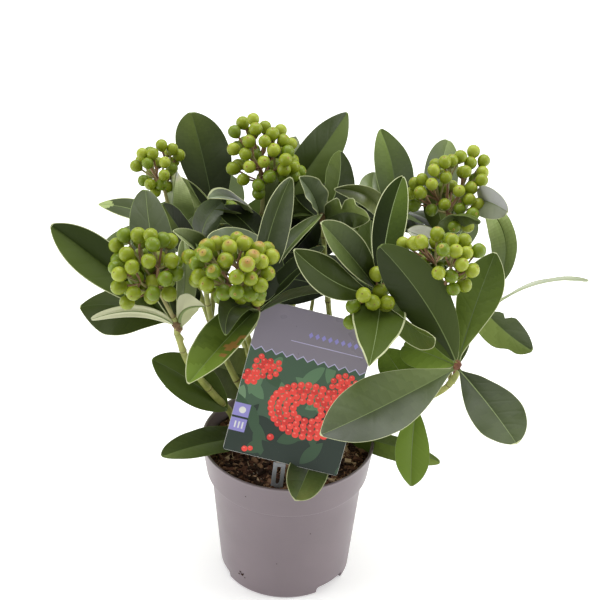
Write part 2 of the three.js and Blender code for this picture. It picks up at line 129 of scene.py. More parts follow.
# --------------------------------------------------------------- mesh building
class Piece:
    """Gathers arrays of vertices and faces in millimetres and makes one mesh of them."""

    def __init__(self, name, mats):
        self.name, self.mats = name, mats
        self.v, self.f, self.m, self.n, self.faces = [], [], [], 0, 0
        self.uv = []

    def add(self, v, f, m, uv=None):
        if uv is not None:
            self.uv.append(uv)
        v, f = np.asarray(v, float), np.asarray(f, int)
        f = np.where(f >= 0, f + self.n, f)
        self.v.append(v)
        self.f.append(f)
        self.m.append(np.full(len(f), m, int) if np.isscalar(m) else np.asarray(m, int))
        self.n += len(v)
        self.faces += len(f)

    def triangles(self):
        return sum(int(np.where(f[:, 3] >= 0, 2, 1).sum()) for f in self.f)

    def build(self, slot=None, replaces=(), sharp=50.0, smooth=True, body="root"):
        v, f, s = np.concatenate(self.v), np.concatenate(self.f), np.concatenate(self.m)
        me = bpy.data.meshes.new(self.name)
        me.vertices.add(len(v))
        me.vertices.foreach_set("co", (v * MM).astype(np.float32).ravel())
        idx = f[f >= 0]
        tot = np.where(f[:, 3] >= 0, 4, 3)
        me.loops.add(len(idx))
        me.loops.foreach_set("vertex_index", idx.astype(np.int32))
        me.polygons.add(len(f))
        me.polygons.foreach_set("loop_start", np.concatenate([[0], np.cumsum(tot)[:-1]]).astype(np.int32))
        if self.uv:
            layer = me.uv_layers.new(name="UVMap")
            layer.data.foreach_set("uv", np.concatenate(self.uv)[idx].astype(np.float32).ravel())
        used, s = np.unique(s, return_inverse=True)
        for i in used:
            me.materials.append(self.mats[i])
        me.polygons.foreach_set("material_index", s.astype(np.int32))
        me.polygons.foreach_set("use_smooth", np.full(len(f), smooth))
        me.update(calc_edges=True)
        me.validate()
        if smooth:
            me.set_sharp_from_angle(angle=sharp * RAD)
        o = bpy.data.objects.new(self.name, me)
        bpy.context.scene.collection.objects.link(o)
        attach(o, body)
        if replaces:
            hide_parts(*replaces)
        return o


def grid_faces(rows, cols, wrap=False, start=0):
    """Quads of a grid of rows x cols vertices, row by row, going round when wrap is set."""
    r, c = np.meshgrid(np.arange(rows - 1), np.arange(cols if wrap else cols - 1), indexing="ij")
    c2 = (c + 1) % cols
    q = np.stack([r * cols + c, r * cols + c2, (r + 1) * cols + c2, (r + 1) * cols + c], -1)
    return q.reshape(-1, 4) + start


def curve_points(points, step=1.5):
    """A centripetal Catmull-Rom curve through the points, at even steps."""
    p = [np.array(a, float) for a in points]
    p = [2 * p[0] - p[1]] + p + [2 * p[-1] - p[-2]]
    out = []
    for i in range(1, len(p) - 2):
        a, b, c, d = p[i - 1:i + 3]
        t0 = 0.0
        t1 = t0 + max(np.linalg.norm(b - a), 1e-6) ** 0.5
        t2 = t1 + max(np.linalg.norm(c - b), 1e-6) ** 0.5
        t3 = t2 + max(np.linalg.norm(d - c), 1e-6) ** 0.5
        t = np.linspace(t1, t2, 41)[:, None]
        a1 = (t1 - t) / (t1 - t0) * a + (t - t0) / (t1 - t0) * b
        a2 = (t2 - t) / (t2 - t1) * b + (t - t1) / (t2 - t1) * c
        a3 = (t3 - t) / (t3 - t2) * c + (t - t2) / (t3 - t2) * d
        b1 = (t2 - t) / (t2 - t0) * a1 + (t - t0) / (t2 - t0) * a2
        b2 = (t3 - t) / (t3 - t1) * a2 + (t - t1) / (t3 - t1) * a3
        q = (t2 - t) / (t2 - t1) * b1 + (t - t1) / (t2 - t1) * b2
        out.append(q if i == 1 else q[1:])
    q = np.concatenate(out)
    seg = np.concatenate([[0], np.cumsum(np.linalg.norm(np.diff(q, axis=0), axis=1))])
    n = max(2, int(round(seg[-1] / step)) + 1)
    s = np.linspace(0, seg[-1], n)
    return np.stack([np.interp(s, seg, q[:, k]) for k in range(3)], 1), s


def tube(piece, path, radii, sides, slot, ridge=None, cap_slot=None):
    """A closed tube along a path of points. radii is one number per point; ridge(s, theta) scales them."""
    path = np.asarray(path, float)
    n = len(path)
    d = np.gradient(path, axis=0)
    d /= np.maximum(np.linalg.norm(d, axis=1), 1e-9)[:, None]
    u = np.zeros_like(path)
    ref = vec(0, 1, 0) if abs(d[0][1]) < 0.9 else vec(1, 0, 0)
    u[0] = unit(np.cross(ref, d[0]))
    for i in range(1, n):
        w = u[i - 1] - (u[i - 1] @ d[i]) * d[i]
        u[i] = unit(w)
    w = np.cross(d, u)
    th = np.arange(sides) * 2 * math.pi / sides
    r = np.asarray(radii, float)[:, None] * np.ones((1, sides))
    if ridge is not None:
        r = r * ridge(th[None, :])
    v = path[:, None, :] + r[..., None] * (np.cos(th)[None, :, None] * u[:, None, :] + np.sin(th)[None, :, None] * w[:, None, :])
    f = grid_faces(n, sides, wrap=True)
    v = v.reshape(-1, 3)
    m = np.asarray(slot if not np.isscalar(slot) else np.full(n - 1, slot), int)
    m = np.repeat(m, sides)
    v = np.concatenate([v, path[:1], path[-1:]])
    a, b = n * sides, n * sides + 1
    k = np.arange(sides)
    k2 = (k + 1) % sides
    c0 = np.stack([np.full(sides, a), k2, k, np.full(sides, -1)], 1)
    e = (n - 1) * sides
    c1 = np.stack([np.full(sides, b), e + k, e + k2, np.full(sides, -1)], 1)
    caps = np.full(2 * sides, m[0] if cap_slot is None else cap_slot)
    piece.add(v, np.concatenate([f, c0, c1]), np.concatenate([m, caps]))
    return d


# ------------------------------------------------------------ leaf materials
LEAF_RECIPE = {}


def leaf_material(name, rgb, rough=0.40, spec=0.38, coat=0.0):
    LEAF_RECIPE[name] = (rgb, rough, spec, coat)
    m = material(name, lin(*rgb), rough=rough, rough_span=0.07, rough_scale=70, spec=spec, coat=coat,
                 bumps=[(520, 4, 0.00016, 0.35), (150, 3, 0.0004, 0.22)])
    # side veins: fine grooves where the u coordinate of the blade passes whole numbers, a little wandering
    nt = m.node_tree
    p = next(n for n in nt.nodes if n.type == "BSDF_PRINCIPLED")
    coord = next(n for n in nt.nodes if n.type == "TEX_COORD")
    wave = nt.nodes.new("ShaderNodeTexWave")
    wave.wave_type, wave.bands_direction, wave.wave_profile = "BANDS", "X", "SIN"
    wave.inputs["Scale"].default_value = 2 * math.pi / 20
    wave.inputs["Distortion"].default_value = 1.1
    wave.inputs["Detail"].default_value = 2.0
    wave.inputs["Detail Scale"].default_value = 2.5
    wave.inputs["Phase Offset"].default_value = math.pi / 2
    nt.links.new(coord.outputs["UV"], wave.inputs["Vector"])
    thin = nt.nodes.new("ShaderNodeMath")
    thin.operation = "POWER"
    thin.inputs[1].default_value = 9.0
    nt.links.new(wave.outputs["Fac"], thin.inputs[0])
    groove = nt.nodes.new("ShaderNodeBump")
    groove.invert = True
    groove.inputs["Distance"].default_value = 0.0004
    groove.inputs["Strength"].default_value = 0.14
    nt.links.new(thin.outputs[0], groove.inputs["Height"])
    before = p.inputs["Normal"].links[0].from_socket
    nt.links.new(before, groove.inputs["Normal"])
    nt.links.new(groove.outputs["Normal"], p.inputs["Normal"])
    return m


# leaf tones; besides the leaf's own colours some carry painted light and shade: deep and shade are painted shade,
# sheen, celadon, silver, pale and meadow have bases greyed partly as a painted reflection, chalk, under_light and light
# are lightened partly as painted light
LEAF = {
    "deep": leaf_material("leaf_deep", (25, 33, 10), spec=0.08, rough=0.5),
    "dark": leaf_material("leaf_dark", (40, 50, 14), spec=0.10, rough=0.45),
    "shade": leaf_material("leaf_shade", (40, 53, 12), spec=0.05, rough=0.45),
    "moss": leaf_material("leaf_moss", (54, 66, 24), spec=0.12),
    "mid": leaf_material("leaf_mid", (58, 71, 28), spec=0.27),
    "leafy": leaf_material("leaf_leafy", (66, 80, 33), spec=0.28),
    "film": leaf_material("leaf_film", (56, 68, 27), spec=0.43),
    "gloss": leaf_material("leaf_gloss", (65, 80, 33), spec=0.55),
    "satin": leaf_material("leaf_satin", (70, 84, 38), spec=0.5),
    "bottle": leaf_material("leaf_bottle", (64, 78, 31), spec=0.10),
    "olive": leaf_material("leaf_olive", (72, 88, 32), spec=0.07),
    "wet": leaf_material("leaf_wet", (80, 91, 38), spec=0.85),
    "sheen": leaf_material("leaf_sheen", (84, 97, 63), spec=0.9),
    "sage": leaf_material("leaf_sage", (76, 90, 39), spec=0.29),
    "green": leaf_material("leaf_green", (88, 106, 36), spec=0.08),
    "grass": leaf_material("leaf_grass", (80, 97, 34), spec=0.07),
    "lime": leaf_material("leaf_lime", (97, 117, 43), spec=0.07),
    "fresh": leaf_material("leaf_fresh", (89, 104, 45), spec=0.26),
    "light": leaf_material("leaf_light", (106, 128, 51), spec=0.07, rough=0.44),
    "celadon": leaf_material("leaf_celadon", (118, 131, 78), spec=0.9, rough=0.42),
    "meadow": leaf_material("leaf_meadow", (122, 139, 76), spec=0.7),
    "silver": leaf_material("leaf_silver", (156, 160, 144), spec=0.9, rough=0.42),
    "pale": leaf_material("leaf_pale", (144, 156, 106), spec=0.8, rough=0.42),
    "chalk": leaf_material("leaf_chalk", (206, 208, 168), spec=0.6, rough=0.45),
    "under": leaf_material("leaf_under", (150, 164, 104), rough=0.55, spec=0.30),
    "under_light": leaf_material("leaf_under_light", (176, 190, 128), rough=0.55, spec=0.30),
    "margin": leaf_material("leaf_margin", (184, 190, 144), rough=0.5, spec=0.35),
    "edge": leaf_material("leaf_edge", (112, 128, 70), rough=0.5, spec=0.3),
    "rib": leaf_material("leaf_rib", (116, 132, 78), rough=0.48, spec=0.35),
    "vein_dark": leaf_material("leaf_vein_dark", (56, 70, 30), rough=0.48, spec=0.2),
    "vein": leaf_material("leaf_vein", (74, 90, 42), rough=0.48, spec=0.3),
    "spot": leaf_material("leaf_spot", (126, 92, 40), rough=0.5, spec=0.3),
}
LEAF_ORDER = list(LEAF)
LEAF_MATS = [LEAF[k] for k in LEAF_ORDER]
L_ = {k: i for i, k in enumerate(LEAF_ORDER)}
TINT = 0.055                     # one step of a tone: a little lighter or darker, painted light or shade


def tint(name, step, painted_sheen=0.0):
    """The slot of a tone, so many steps lighter or darker than the tone itself, as painted light or shade."""
    if step == 0 and painted_sheen == 0:
        return L_[name]
    key = "%s_%s%d_%s%d" % (name, "up" if step >= 0 else "down", abs(step), "grey" if painted_sheen >= 0 else "green", abs(round(painted_sheen * 100)))
    if key not in L_:
        rgb, rough, spec, coat = LEAF_RECIPE["leaf_" + name]
        k = math.exp(TINT * step)
        # the lighter, the greyer: a painted sheen, bright surroundings reflected in the blade
        LEAF_MATS.append(leaf_material("leaf_" + key, tuple(min(c * k ** e * w, 232) for c, e, w in zip(rgb, (1.12, 1.0, 1.55), (1, 1, math.exp(painted_sheen)))),
                                       rough, spec, coat))
        L_[key] = len(LEAF_MATS) - 1
    return L_[key]


def width_profile(t, peak, sharp):
    t = np.clip(t, 1e-6, 1 - 1e-9)
    a = sharp * peak / (1 - peak)
    return (t / peak) ** a * ((1 - t) / (1 - peak)) ** sharp


def blade_direction(az, el, roll):
    a, e, r = az * RAD, el * RAD, roll * RAD
    d = vec(math.cos(e) * math.cos(a), math.cos(e) * math.sin(a), math.sin(e))
    up = unit(vec(0, 0, 1) - d[2] * d)
    s = np.cross(d, up)
    return d, math.cos(r) * up + math.sin(r) * s


def blade(piece, base, az, el, roll, reach, width, bow=3.0, side=0.0, fold=10.0, peak=0.55, sharp=0.7, tone="mid",
          seed=0, margin=0.26, shift=None, twist=0.0, curl=0.05, wave=0.0, notch=None, spot=None, flip=False,
          rows=36, thick=0.42, bands=None, half_tone=None, grade=None, petiole=1.15, rib_slot="rib", under_slot="under", margin_slot="margin"):
    """One leaf: a thin closed blade with its own outline, folded along the midrib, bowed and twisted."""
    rnd = np.random.default_rng(seed + 1000)
    base = np.asarray(base, float)
    d, n0 = blade_direction(az, el, roll)
    tip = base + reach * d
    mid = (base + tip) / 2 + bow * n0 + side * np.cross(d, n0)
    if shift is not None:
        base = base + shift
    p1 = 2 * mid - (base + tip) / 2
    x = np.linspace(0, 1, rows + 1)
    t = x - 0.6 * np.sin(2 * math.pi * x) / (2 * math.pi)
    t = 0.004 + t * 0.990
    P = ((1 - t) ** 2)[:, None] * base + (2 * t * (1 - t))[:, None] * p1 + (t ** 2)[:, None] * tip
    D = 2 * (1 - t)[:, None] * (p1 - base) + 2 * t[:, None] * (tip - p1)
    D /= np.linalg.norm(D, axis=1)[:, None]
    N = n0[None, :] - (D @ n0)[:, None] * D
    N /= np.linalg.norm(N, axis=1)[:, None]
    if twist:
        a = twist * RAD * (t - 0.5)
        S = np.cross(D, N)
        N = np.cos(a)[:, None] * N + np.sin(a)[:, None] * S
    S = np.cross(D, N)
    w = width / 2 * width_profile(t, peak, sharp)
    stalk = petiole * (1 - 0.35 * np.clip(t * reach / 14, 0, 1))
    w = np.where(t < 0.4, np.maximum(w, stalk), np.maximum(w, 0.22))
    wl, wr = w.copy(), w.copy()
    if notch is not None:
        for at, depth, span, which in notch:
            bite = depth * np.exp(-((t - at) / span) ** 2)
            if which > 0:
                wl = np.maximum(wl - bite, 0.8)
            else:
                wr = np.maximum(wr - bite, 0.8)
    rib = np.minimum(0.40 * (1 - 0.70 * t), 0.42 * w)
    cols = []
    names = []
    for sgn, ww in ((-1, wr), (1, wl)):
        m = np.minimum(margin, 0.30 * ww)
        inner = ww - m
        half = [(ww, "edge"), (inner, "rim")]
        for k in (0.82, 0.62, 0.42, 0.20):
            half.append((rib + (inner - rib) * k, "in"))
        half.append((rib, "rib"))
        if sgn < 0:
            cols += [(-a, b) for a, b in half]
            cols.append((np.zeros_like(w), "mid"))
        else:
            cols += [(a, b) for a, b in half[::-1]]
    y = np.stack([c[0] for c in cols], 1)            # signed distance from the midrib
    ncol = y.shape[1]
    ay = np.abs(y)
    u = ay / np.where(y < 0, wr[:, None], wl[:, None])
    f = fold * RAD
    tt = t[:, None]
    lift = np.sin(f) * ay
    # the fold opens towards the tip and the petiole; the edge curls a little
    lift *= np.clip(1.15 - 0.5 * tt, 0.6, 1.15)
    curl_here = curl * (0.5 + 0.5 * rnd.random()) * np.where(y < 0, 1 + 0.4 * rnd.normal(), 1 + 0.4 * rnd.normal())
    lift += -curl_here * width * 0.5 * u ** 3 * np.sin(math.pi * np.clip(tt, 0, 1))
    # broad unevenness of the blade
    ph = rnd.random(8) * 2 * math.pi
    big = (np.sin(2 * math.pi * 1.1 * tt + ph[0] + 0.8 * np.sign(y)) * 0.55
           + np.sin(2 * math.pi * 2.3 * tt + ph[1] + 1.7 * (y > 0)) * 0.34
           + np.sin(2 * math.pi * 3.7 * tt + ph[2] + 2.4 * (y > 0)) * 0.22
           + np.sin(2 * math.pi * 5.9 * tt + ph[4] + 0.9 * (y > 0)) * 0.10)
    lift += big * (0.028 * width) * u ** 1.5
    if wave:
        lift += wave * np.sin(2 * math.pi * (3.3 * tt + 0.35 * (y > 0)) + ph[3]) * u ** 2.2 * np.sin(math.pi * np.clip(tt, 0, 1))
    # faint quilting between the side veins, a groove along the midrib
    veins = 7.0
    q = np.abs(np.sin(math.pi * (veins * (tt - 0.16 * u) + 0.5 * (y > 0))))
    lift += 0.11 * (np.sqrt(q) - 0.6) * np.sin(math.pi * np.clip(u, 0, 1)) * np.clip(w[:, None] / 9, 0, 1)
    lift -= 0.42 * np.exp(-(ay / 0.9) ** 2) * np.clip(w[:, None] / 5, 0, 1)
    across = y * math.cos(f)
    top = P[:, None, :] + across[..., None] * S[:, None, :] + lift[..., None] * N[:, None, :]
    # local normals of the top surface
    gt = np.gradient(top, axis=0)
    gu = np.gradient(top, axis=1)
    nn = np.cross(gt, gu)
    nn /= np.maximum(np.linalg.norm(nn, axis=2), 1e-9)[..., None]
    if (nn.reshape(-1, 3) @ n0).sum() < 0:
        nn = -nn
    body = thick + 0.9 * np.exp(-tt * reach / 7.0)
    depth = body * np.where(u > 0.97, 0.45, 1.0) + 0.55 * np.exp(-(ay / 0.9) ** 2) * (1 - 0.7 * tt)
    low = top - depth[..., None] * nn
    v = np.concatenate([top.reshape(-1, 3), low.reshape(-1, 3)])
    R = rows + 1
    g = grid_faces(R, ncol)
    # the winding that makes the top face along +n
    a, b, c = v[g[0, 0]], v[g[0, 1]], v[g[0, 2]]
    k0 = len(g) // 2
    a, b, c = v[g[k0, 0]], v[g[k0, 1]], v[g[k0, 2]]
    up = np.cross(b - a, c - a) @ nn.reshape(-1, 3)[g[k0, 0]] > 0
    gt_, gb_ = (g, g[:, ::-1] + R * ncol) if up else (g[:, ::-1], g + R * ncol)
    strip = np.tile(np.arange(ncol - 1), rows)
    row_of = np.repeat(np.arange(rows), ncol - 1)
    last = ncol - 2
    mt = np.full(len(g), L_[tone])
    if bands is not None:
        # the blade changes tone in small steps from petiole to tip, along the run of the side veins
        along = (t[row_of] + t[row_of + 1]) / 2 - 0.10 * (u[row_of, strip] + u[row_of, strip + 1]) / 2
        for upto, what in bands[::-1]:
            mt[along < upto] = L_[what]
    # one half of the blade in another tone: painted light and shade of the fold
    if half_tone is not None:
        mt[(strip > 6) if half_tone[0] > 0 else (strip < 7)] = L_[half_tone[1]]
    mb = np.full(len(g), L_[under_slot])
    if grade is not None:
        # painted light and shade: the blade grows lighter by `along` from petiole to tip, by `across` from one half to
        # the other, and greyer by a painted sheen
        along, across, lift, painted_sheen = grade
        run = (t[row_of] + t[row_of + 1]) / 2 - 0.10 * (u[row_of, strip] + u[row_of, strip + 1]) / 2
        steps = np.round((lift + along * (run - 0.5) + across * np.where(strip > 6, 0.5, -0.5)) / TINT).astype(int)
        for step in np.unique(np.clip(steps, -9, 9)):
            here = np.clip(steps, -9, 9) == step
            mt[here & (mt == L_[tone])] = tint(tone, step, painted_sheen)
            if under_slot != "under":        # an underside that faces the front
                mb[here] = tint(under_slot, step, painted_sheen)
    mt[(strip == 0) | (strip == last)] = L_[margin_slot]
    mt[(strip == 6) | (strip == 7)] = L_[rib_slot]
    mt[(row_of < 2)] = L_[rib_slot]
    mt[(row_of >= rows - 1)] = L_[margin_slot]
    mb[(strip == 6) | (strip == 7)] = L_[rib_slot]
    if spot is not None:
        tm = (t[row_of] + t[row_of + 1]) / 2
        ym = (y[row_of, strip] + y[row_of, strip + 1]) / 2 / (width / 2)
        for (st, sy, rt, ry, what) in spot:
            hit = ((tm - st) / rt) ** 2 + ((ym - sy) / ry) ** 2 < 1 + 0.35 * rnd.normal(size=len(tm))
            mt[hit & (strip > 0) & (strip < last)] = L_[what]
    if flip:
        mt, mb = np.where(mt == L_[tone], L_[under_slot], mt), np.where(mb == L_[under_slot], L_[tone], mb)
    # rim
    kt = np.arange(rows)
    rims = []
    for col in (0, ncol - 1):
        a, b = kt * ncol + col, (kt + 1) * ncol + col
        q4 = np.stack([a, b, b + R * ncol, a + R * ncol], 1)
        rims.append(q4 if (col == 0) == up else q4[:, ::-1])
    kc = np.arange(ncol - 1)
    for row in (0, rows):
        a, b = row * ncol + kc, row * ncol + kc + 1
        q4 = np.stack([a, b, b + R * ncol, a + R * ncol], 1)
        rims.append(q4[:, ::-1] if (row == 0) == up else q4)
    rim = np.concatenate(rims)
    # u counts the side veins, v runs from the midrib to the edge
    uv = np.stack([veins * (tt - 0.16 * u) + 0.5 * (y > 0), np.broadcast_to(u, y.shape)], 2).reshape(-1, 2)
    piece.add(v, np.concatenate([gt_, gb_, rim]), np.concatenate([mt, mb, np.full(len(rim), L_[margin_slot])]),
              uv=np.concatenate([uv, uv]))
    return tip

# --------------------------------------------------------------------- leaves
# One row for each leaf that leaves a shoot: its own name, the shoot, azimuth and elevation of its tip,
# roll about its own axis (degrees), reach, width, bow, side sweep (mm), fold (degrees),
# where it is widest (share of its length), how blunt its tip is, and its tone.
LEAVES = [
    # node A (-79, 40, 243)
    ('A1', 'A', 75, 80, 144, 40, 33, -1.0, 0.7, 25, 0.45, 0.95, 'under'),
    ('A2', 'A', 140, -8, -29, 74, 16.8, 0.5, 4.0, 8, 0.52, 0.83, 'mid'),
    # node K (-49, 55, 231)
    ('K1', 'K', 144, 42, -45, 47, 13, -6.0, 0.0, 8, 0.50, 0.85, 'under'),
    ('B1', 'K', 110, 39, 5, 91, 39.2, 0.1, 0.1, 16, 0.66, 0.70, 'dark'),
    # node M (-58, 5, 239)
    ('C9', 'M', 131, 28, -74, 50, 24, 2, 1, 10, 0.55, 0.80, 'mid'),
    ('C7', 'M', -136, 53, -60, 41, 20.8, 2.0, 1.6, 47, 0.41, 0.59, 'dark'),
    ('B2', 'M', 77, 24, 44, 50, 19.3, -2.3, -6.2, -7, 0.64, 0.64, 'grey'),
    # node B (-22, 50, 243)
    ('B3', 'B', -160, 34, 8, 45, 22, 6.0, 7.0, 12, 0.50, 0.90, 'pale'),
    ('B5', 'B', 42, 39, 61, 95, 30.9, 5.3, 0.5, 10, 0.56, 0.83, 'mid'),
    ('B6', 'B', 69, 31, 41, 70, 24, 6, -3, 5, 0.55, 0.80, 'dark'),
    # node Q (-16, 5, 250)
    ('B4', 'Q', -140, 21, -23, 52, 24.9, 0.5, 4.4, 15, 0.40, 0.45, 'grey'),
    # node R (18, 30, 260)
    ('B8', 'R', -166, 63, -52, 36, 20, 1, 2, 34, 0.55, 0.80, 'dark'),
    ('B7', 'R', 77, 29, 45, 54, 25.4, 2.5, 3.7, 10, 0.56, 0.75, 'mid'),
    ('R1', 'R', -41, 21, 89, 42, 22, -1, -4, 10, 0.50, 0.70, 'mid'),
    # node C (-72, -40, 220)
    ('C1', 'C', 161, 32, -52, 101, 34.4, -3.8, 0.8, 37, 0.65, 0.78, 'dark'),
    ('C3', 'C', 161, -3, -25, 68, 40.5, 8.2, 1.6, -22, 0.59, 0.95, 'dark'),
    ('C4', 'C', -26, 44, -82, 29, 25.4, -0.7, 5.3, 55, 0.38, 0.90, 'under'),
    ('C6', 'C', 111, 43, 3, 91, 28, 2.3, -4.3, 2, 0.62, 0.59, 'grey'),
    ('C8', 'C', 89, 34, 55, 60, 22, 3, 2, 10, 0.55, 0.80, 'grey'),
    ('C10', 'C', -157, 16, 102, 58, 8, -1.1, -7.5, -5, 0.55, 0.45, 'under'),
    # node C5 (-40, -2, 129)
    ('C5', 'C5', -157, 44, -63, 75, 30, -1, 2, 10, 0.52, 0.70, 'dark'),
    # node D (-22, -45, 237)
    ('D1', 'D', -124, -15, 2, 72, 34.9, 4.5, -2.2, 26, 0.48, 0.73, 'light'),
    ('D2', 'D', -110, 11, -20, 50, 20.2, 5.5, 8.7, 23, 0.39, 0.69, 'dark'),
    ('D3', 'D', 73, 42, 57, 89, 27.3, -3.2, -2.4, 20, 0.58, 0.79, 'grey'),
    ('D4', 'D', 61, 19, -22, 87, 17.4, 2.6, -6.2, 26, 0.70, 0.69, 'mid'),
    ('D5', 'D', 49, -16, 78, 74, 34.3, -7.7, -11.9, -8, 0.61, 0.92, 'dark'),
    ('D6', 'D', -108, -22, 26, 25, 16.1, 2.0, 1.1, -4, 0.59, 0.89, 'dark'),
    # node D7 (-28, -15, 184)
    ('D7', 'LR', -169, 27, -57, 51, 36, 6.4, -0.5, 2, 0.70, 0.86, 'dark'),
    # node G (56, -30, 242)
    ('H4', 'G', 80, 28, 24, 89, 22.8, 3.3, -4.6, 13, 0.54, 0.75, 'mid'),
    ('G1', 'G', -157, 36, -56, 75, 23.8, 4.9, -8.7, 10, 0.66, 0.86, 'mid'),
    ('G2', 'G', -158, 54, -61, 73, 26, -1.2, 1.4, 32, 0.61, 0.68, 'mid'),
    ('G3', 'G', -97, -10, -4, 67, 34, 1, -1, 10, 0.33, 1.05, 'rim'),
    ('G4', 'G', -56, -2, 111, 57, 26.9, -0.0, 11.0, 24, 0.44, 0.64, 'dark'),
    ('G5', 'G', 97, 20, 19, 60, 22, 1, -3, 10, 0.55, 0.70, 'mid'),
    # node H (61, 40, 250)
    ('H1', 'H', -159, 41, -83, 52, 16.8, 4.0, 8.8, 37, 0.51, 0.67, 'mid'),
    ('H2', 'H', 94, 24, 7, 82, 27.3, -2.8, 8.0, 12, 0.58, 0.78, 'mid'),
    ('H3', 'H', 99, 12, 5, 55, 20, 1, -5, 10, 0.55, 0.80, 'mid'),
    # node E (101, 45, 238)
    ('E4', 'E', -35, -39, 21, 93, 28.5, -6.5, 6.5, -14, 0.72, 0.80, 'mid'),
    ('E1', 'E', 88, 23, 8, 86, 23.5, 4.5, -5.8, 2, 0.57, 0.54, 'mid'),
    ('E6', 'E', -67, 41, 138, 57, 18.8, -5.8, -8.4, 41, 0.41, 0.45, 'dark'),
    ('E5', 'E', -150, 26, -54, 35, 15.1, -3.7, -0.2, 15, 0.45, 0.77, 'gloss'),
    ('E7', 'E', 131, 63, -32, 40, 20, -4.1, 0.2, -26, 0.51, 0.78, 'dark'),
    # node E2 (122, 55, 266)
    ('E2', 'E2', -66, 12, 71, 37, 23.2, 4.3, -0.8, 29, 0.56, 0.45, 'grey'),
    ('E3', 'E2', -77, -41, 54, 62, 22.5, -6.3, -8.6, 14, 0.56, 0.65, 'mid'),
    # node F (104, -65, 212)
    ('F1', 'F', -147, -9, -27, 102, 42, -4.5, 0.0, 14, 0.58, 0.91, 'dark'),
    ('F2', 'F', -59, -14, 15, 68, 33.5, -1.4, -1.4, 14, 0.64, 0.63, 'dark'),
    ('F3', 'F', 155, 51, -64, 91, 33.0, -3.1, 4.4, -10, 0.57, 0.68, 'dark'),
    ('F4', 'F', 70, 30, 8, 85, 28.4, -2.9, -1.6, 0, 0.67, 0.88, 'mid'),
    ('F5', 'F', 131, -12, -34, 50, 26, 3, 0, 10, 0.55, 0.60, 'light'),
    ('F7', 'F8', -10.5, 35.0, -28, 94, 28, 12.0, 0.0, 4, 0.74, 0.60, 'edge'),
    # node P4 (83, -45, 171)
    ('F6', 'P4', 121, 19, -12, 45, 26, 1, 0, 10, 0.55, 0.70, 'mid'),
    ('P4', 'P4', -95, -31, -15, 59, 23.9, -3.5, 0.6, 14, 0.62, 0.72, 'light'),
    # node P1 (-18, 5, 105)
    ('P1', 'P1', -145, 8, -12, 80, 26, -0, 2, 10, 0.52, 0.65, 'dark'),
    # node P2 (23, -10, 114)
    ('P2', 'P2', -105, -5, -19, 65, 27.9, -1.6, -0.4, 18, 0.57, 0.51, 'mid'),
    # node P3 (34, 10, 105)
    ('P3', 'P3', -32, 5, 101, 80, 26, -2, 1, 10, 0.52, 0.70, 'dark'),
]

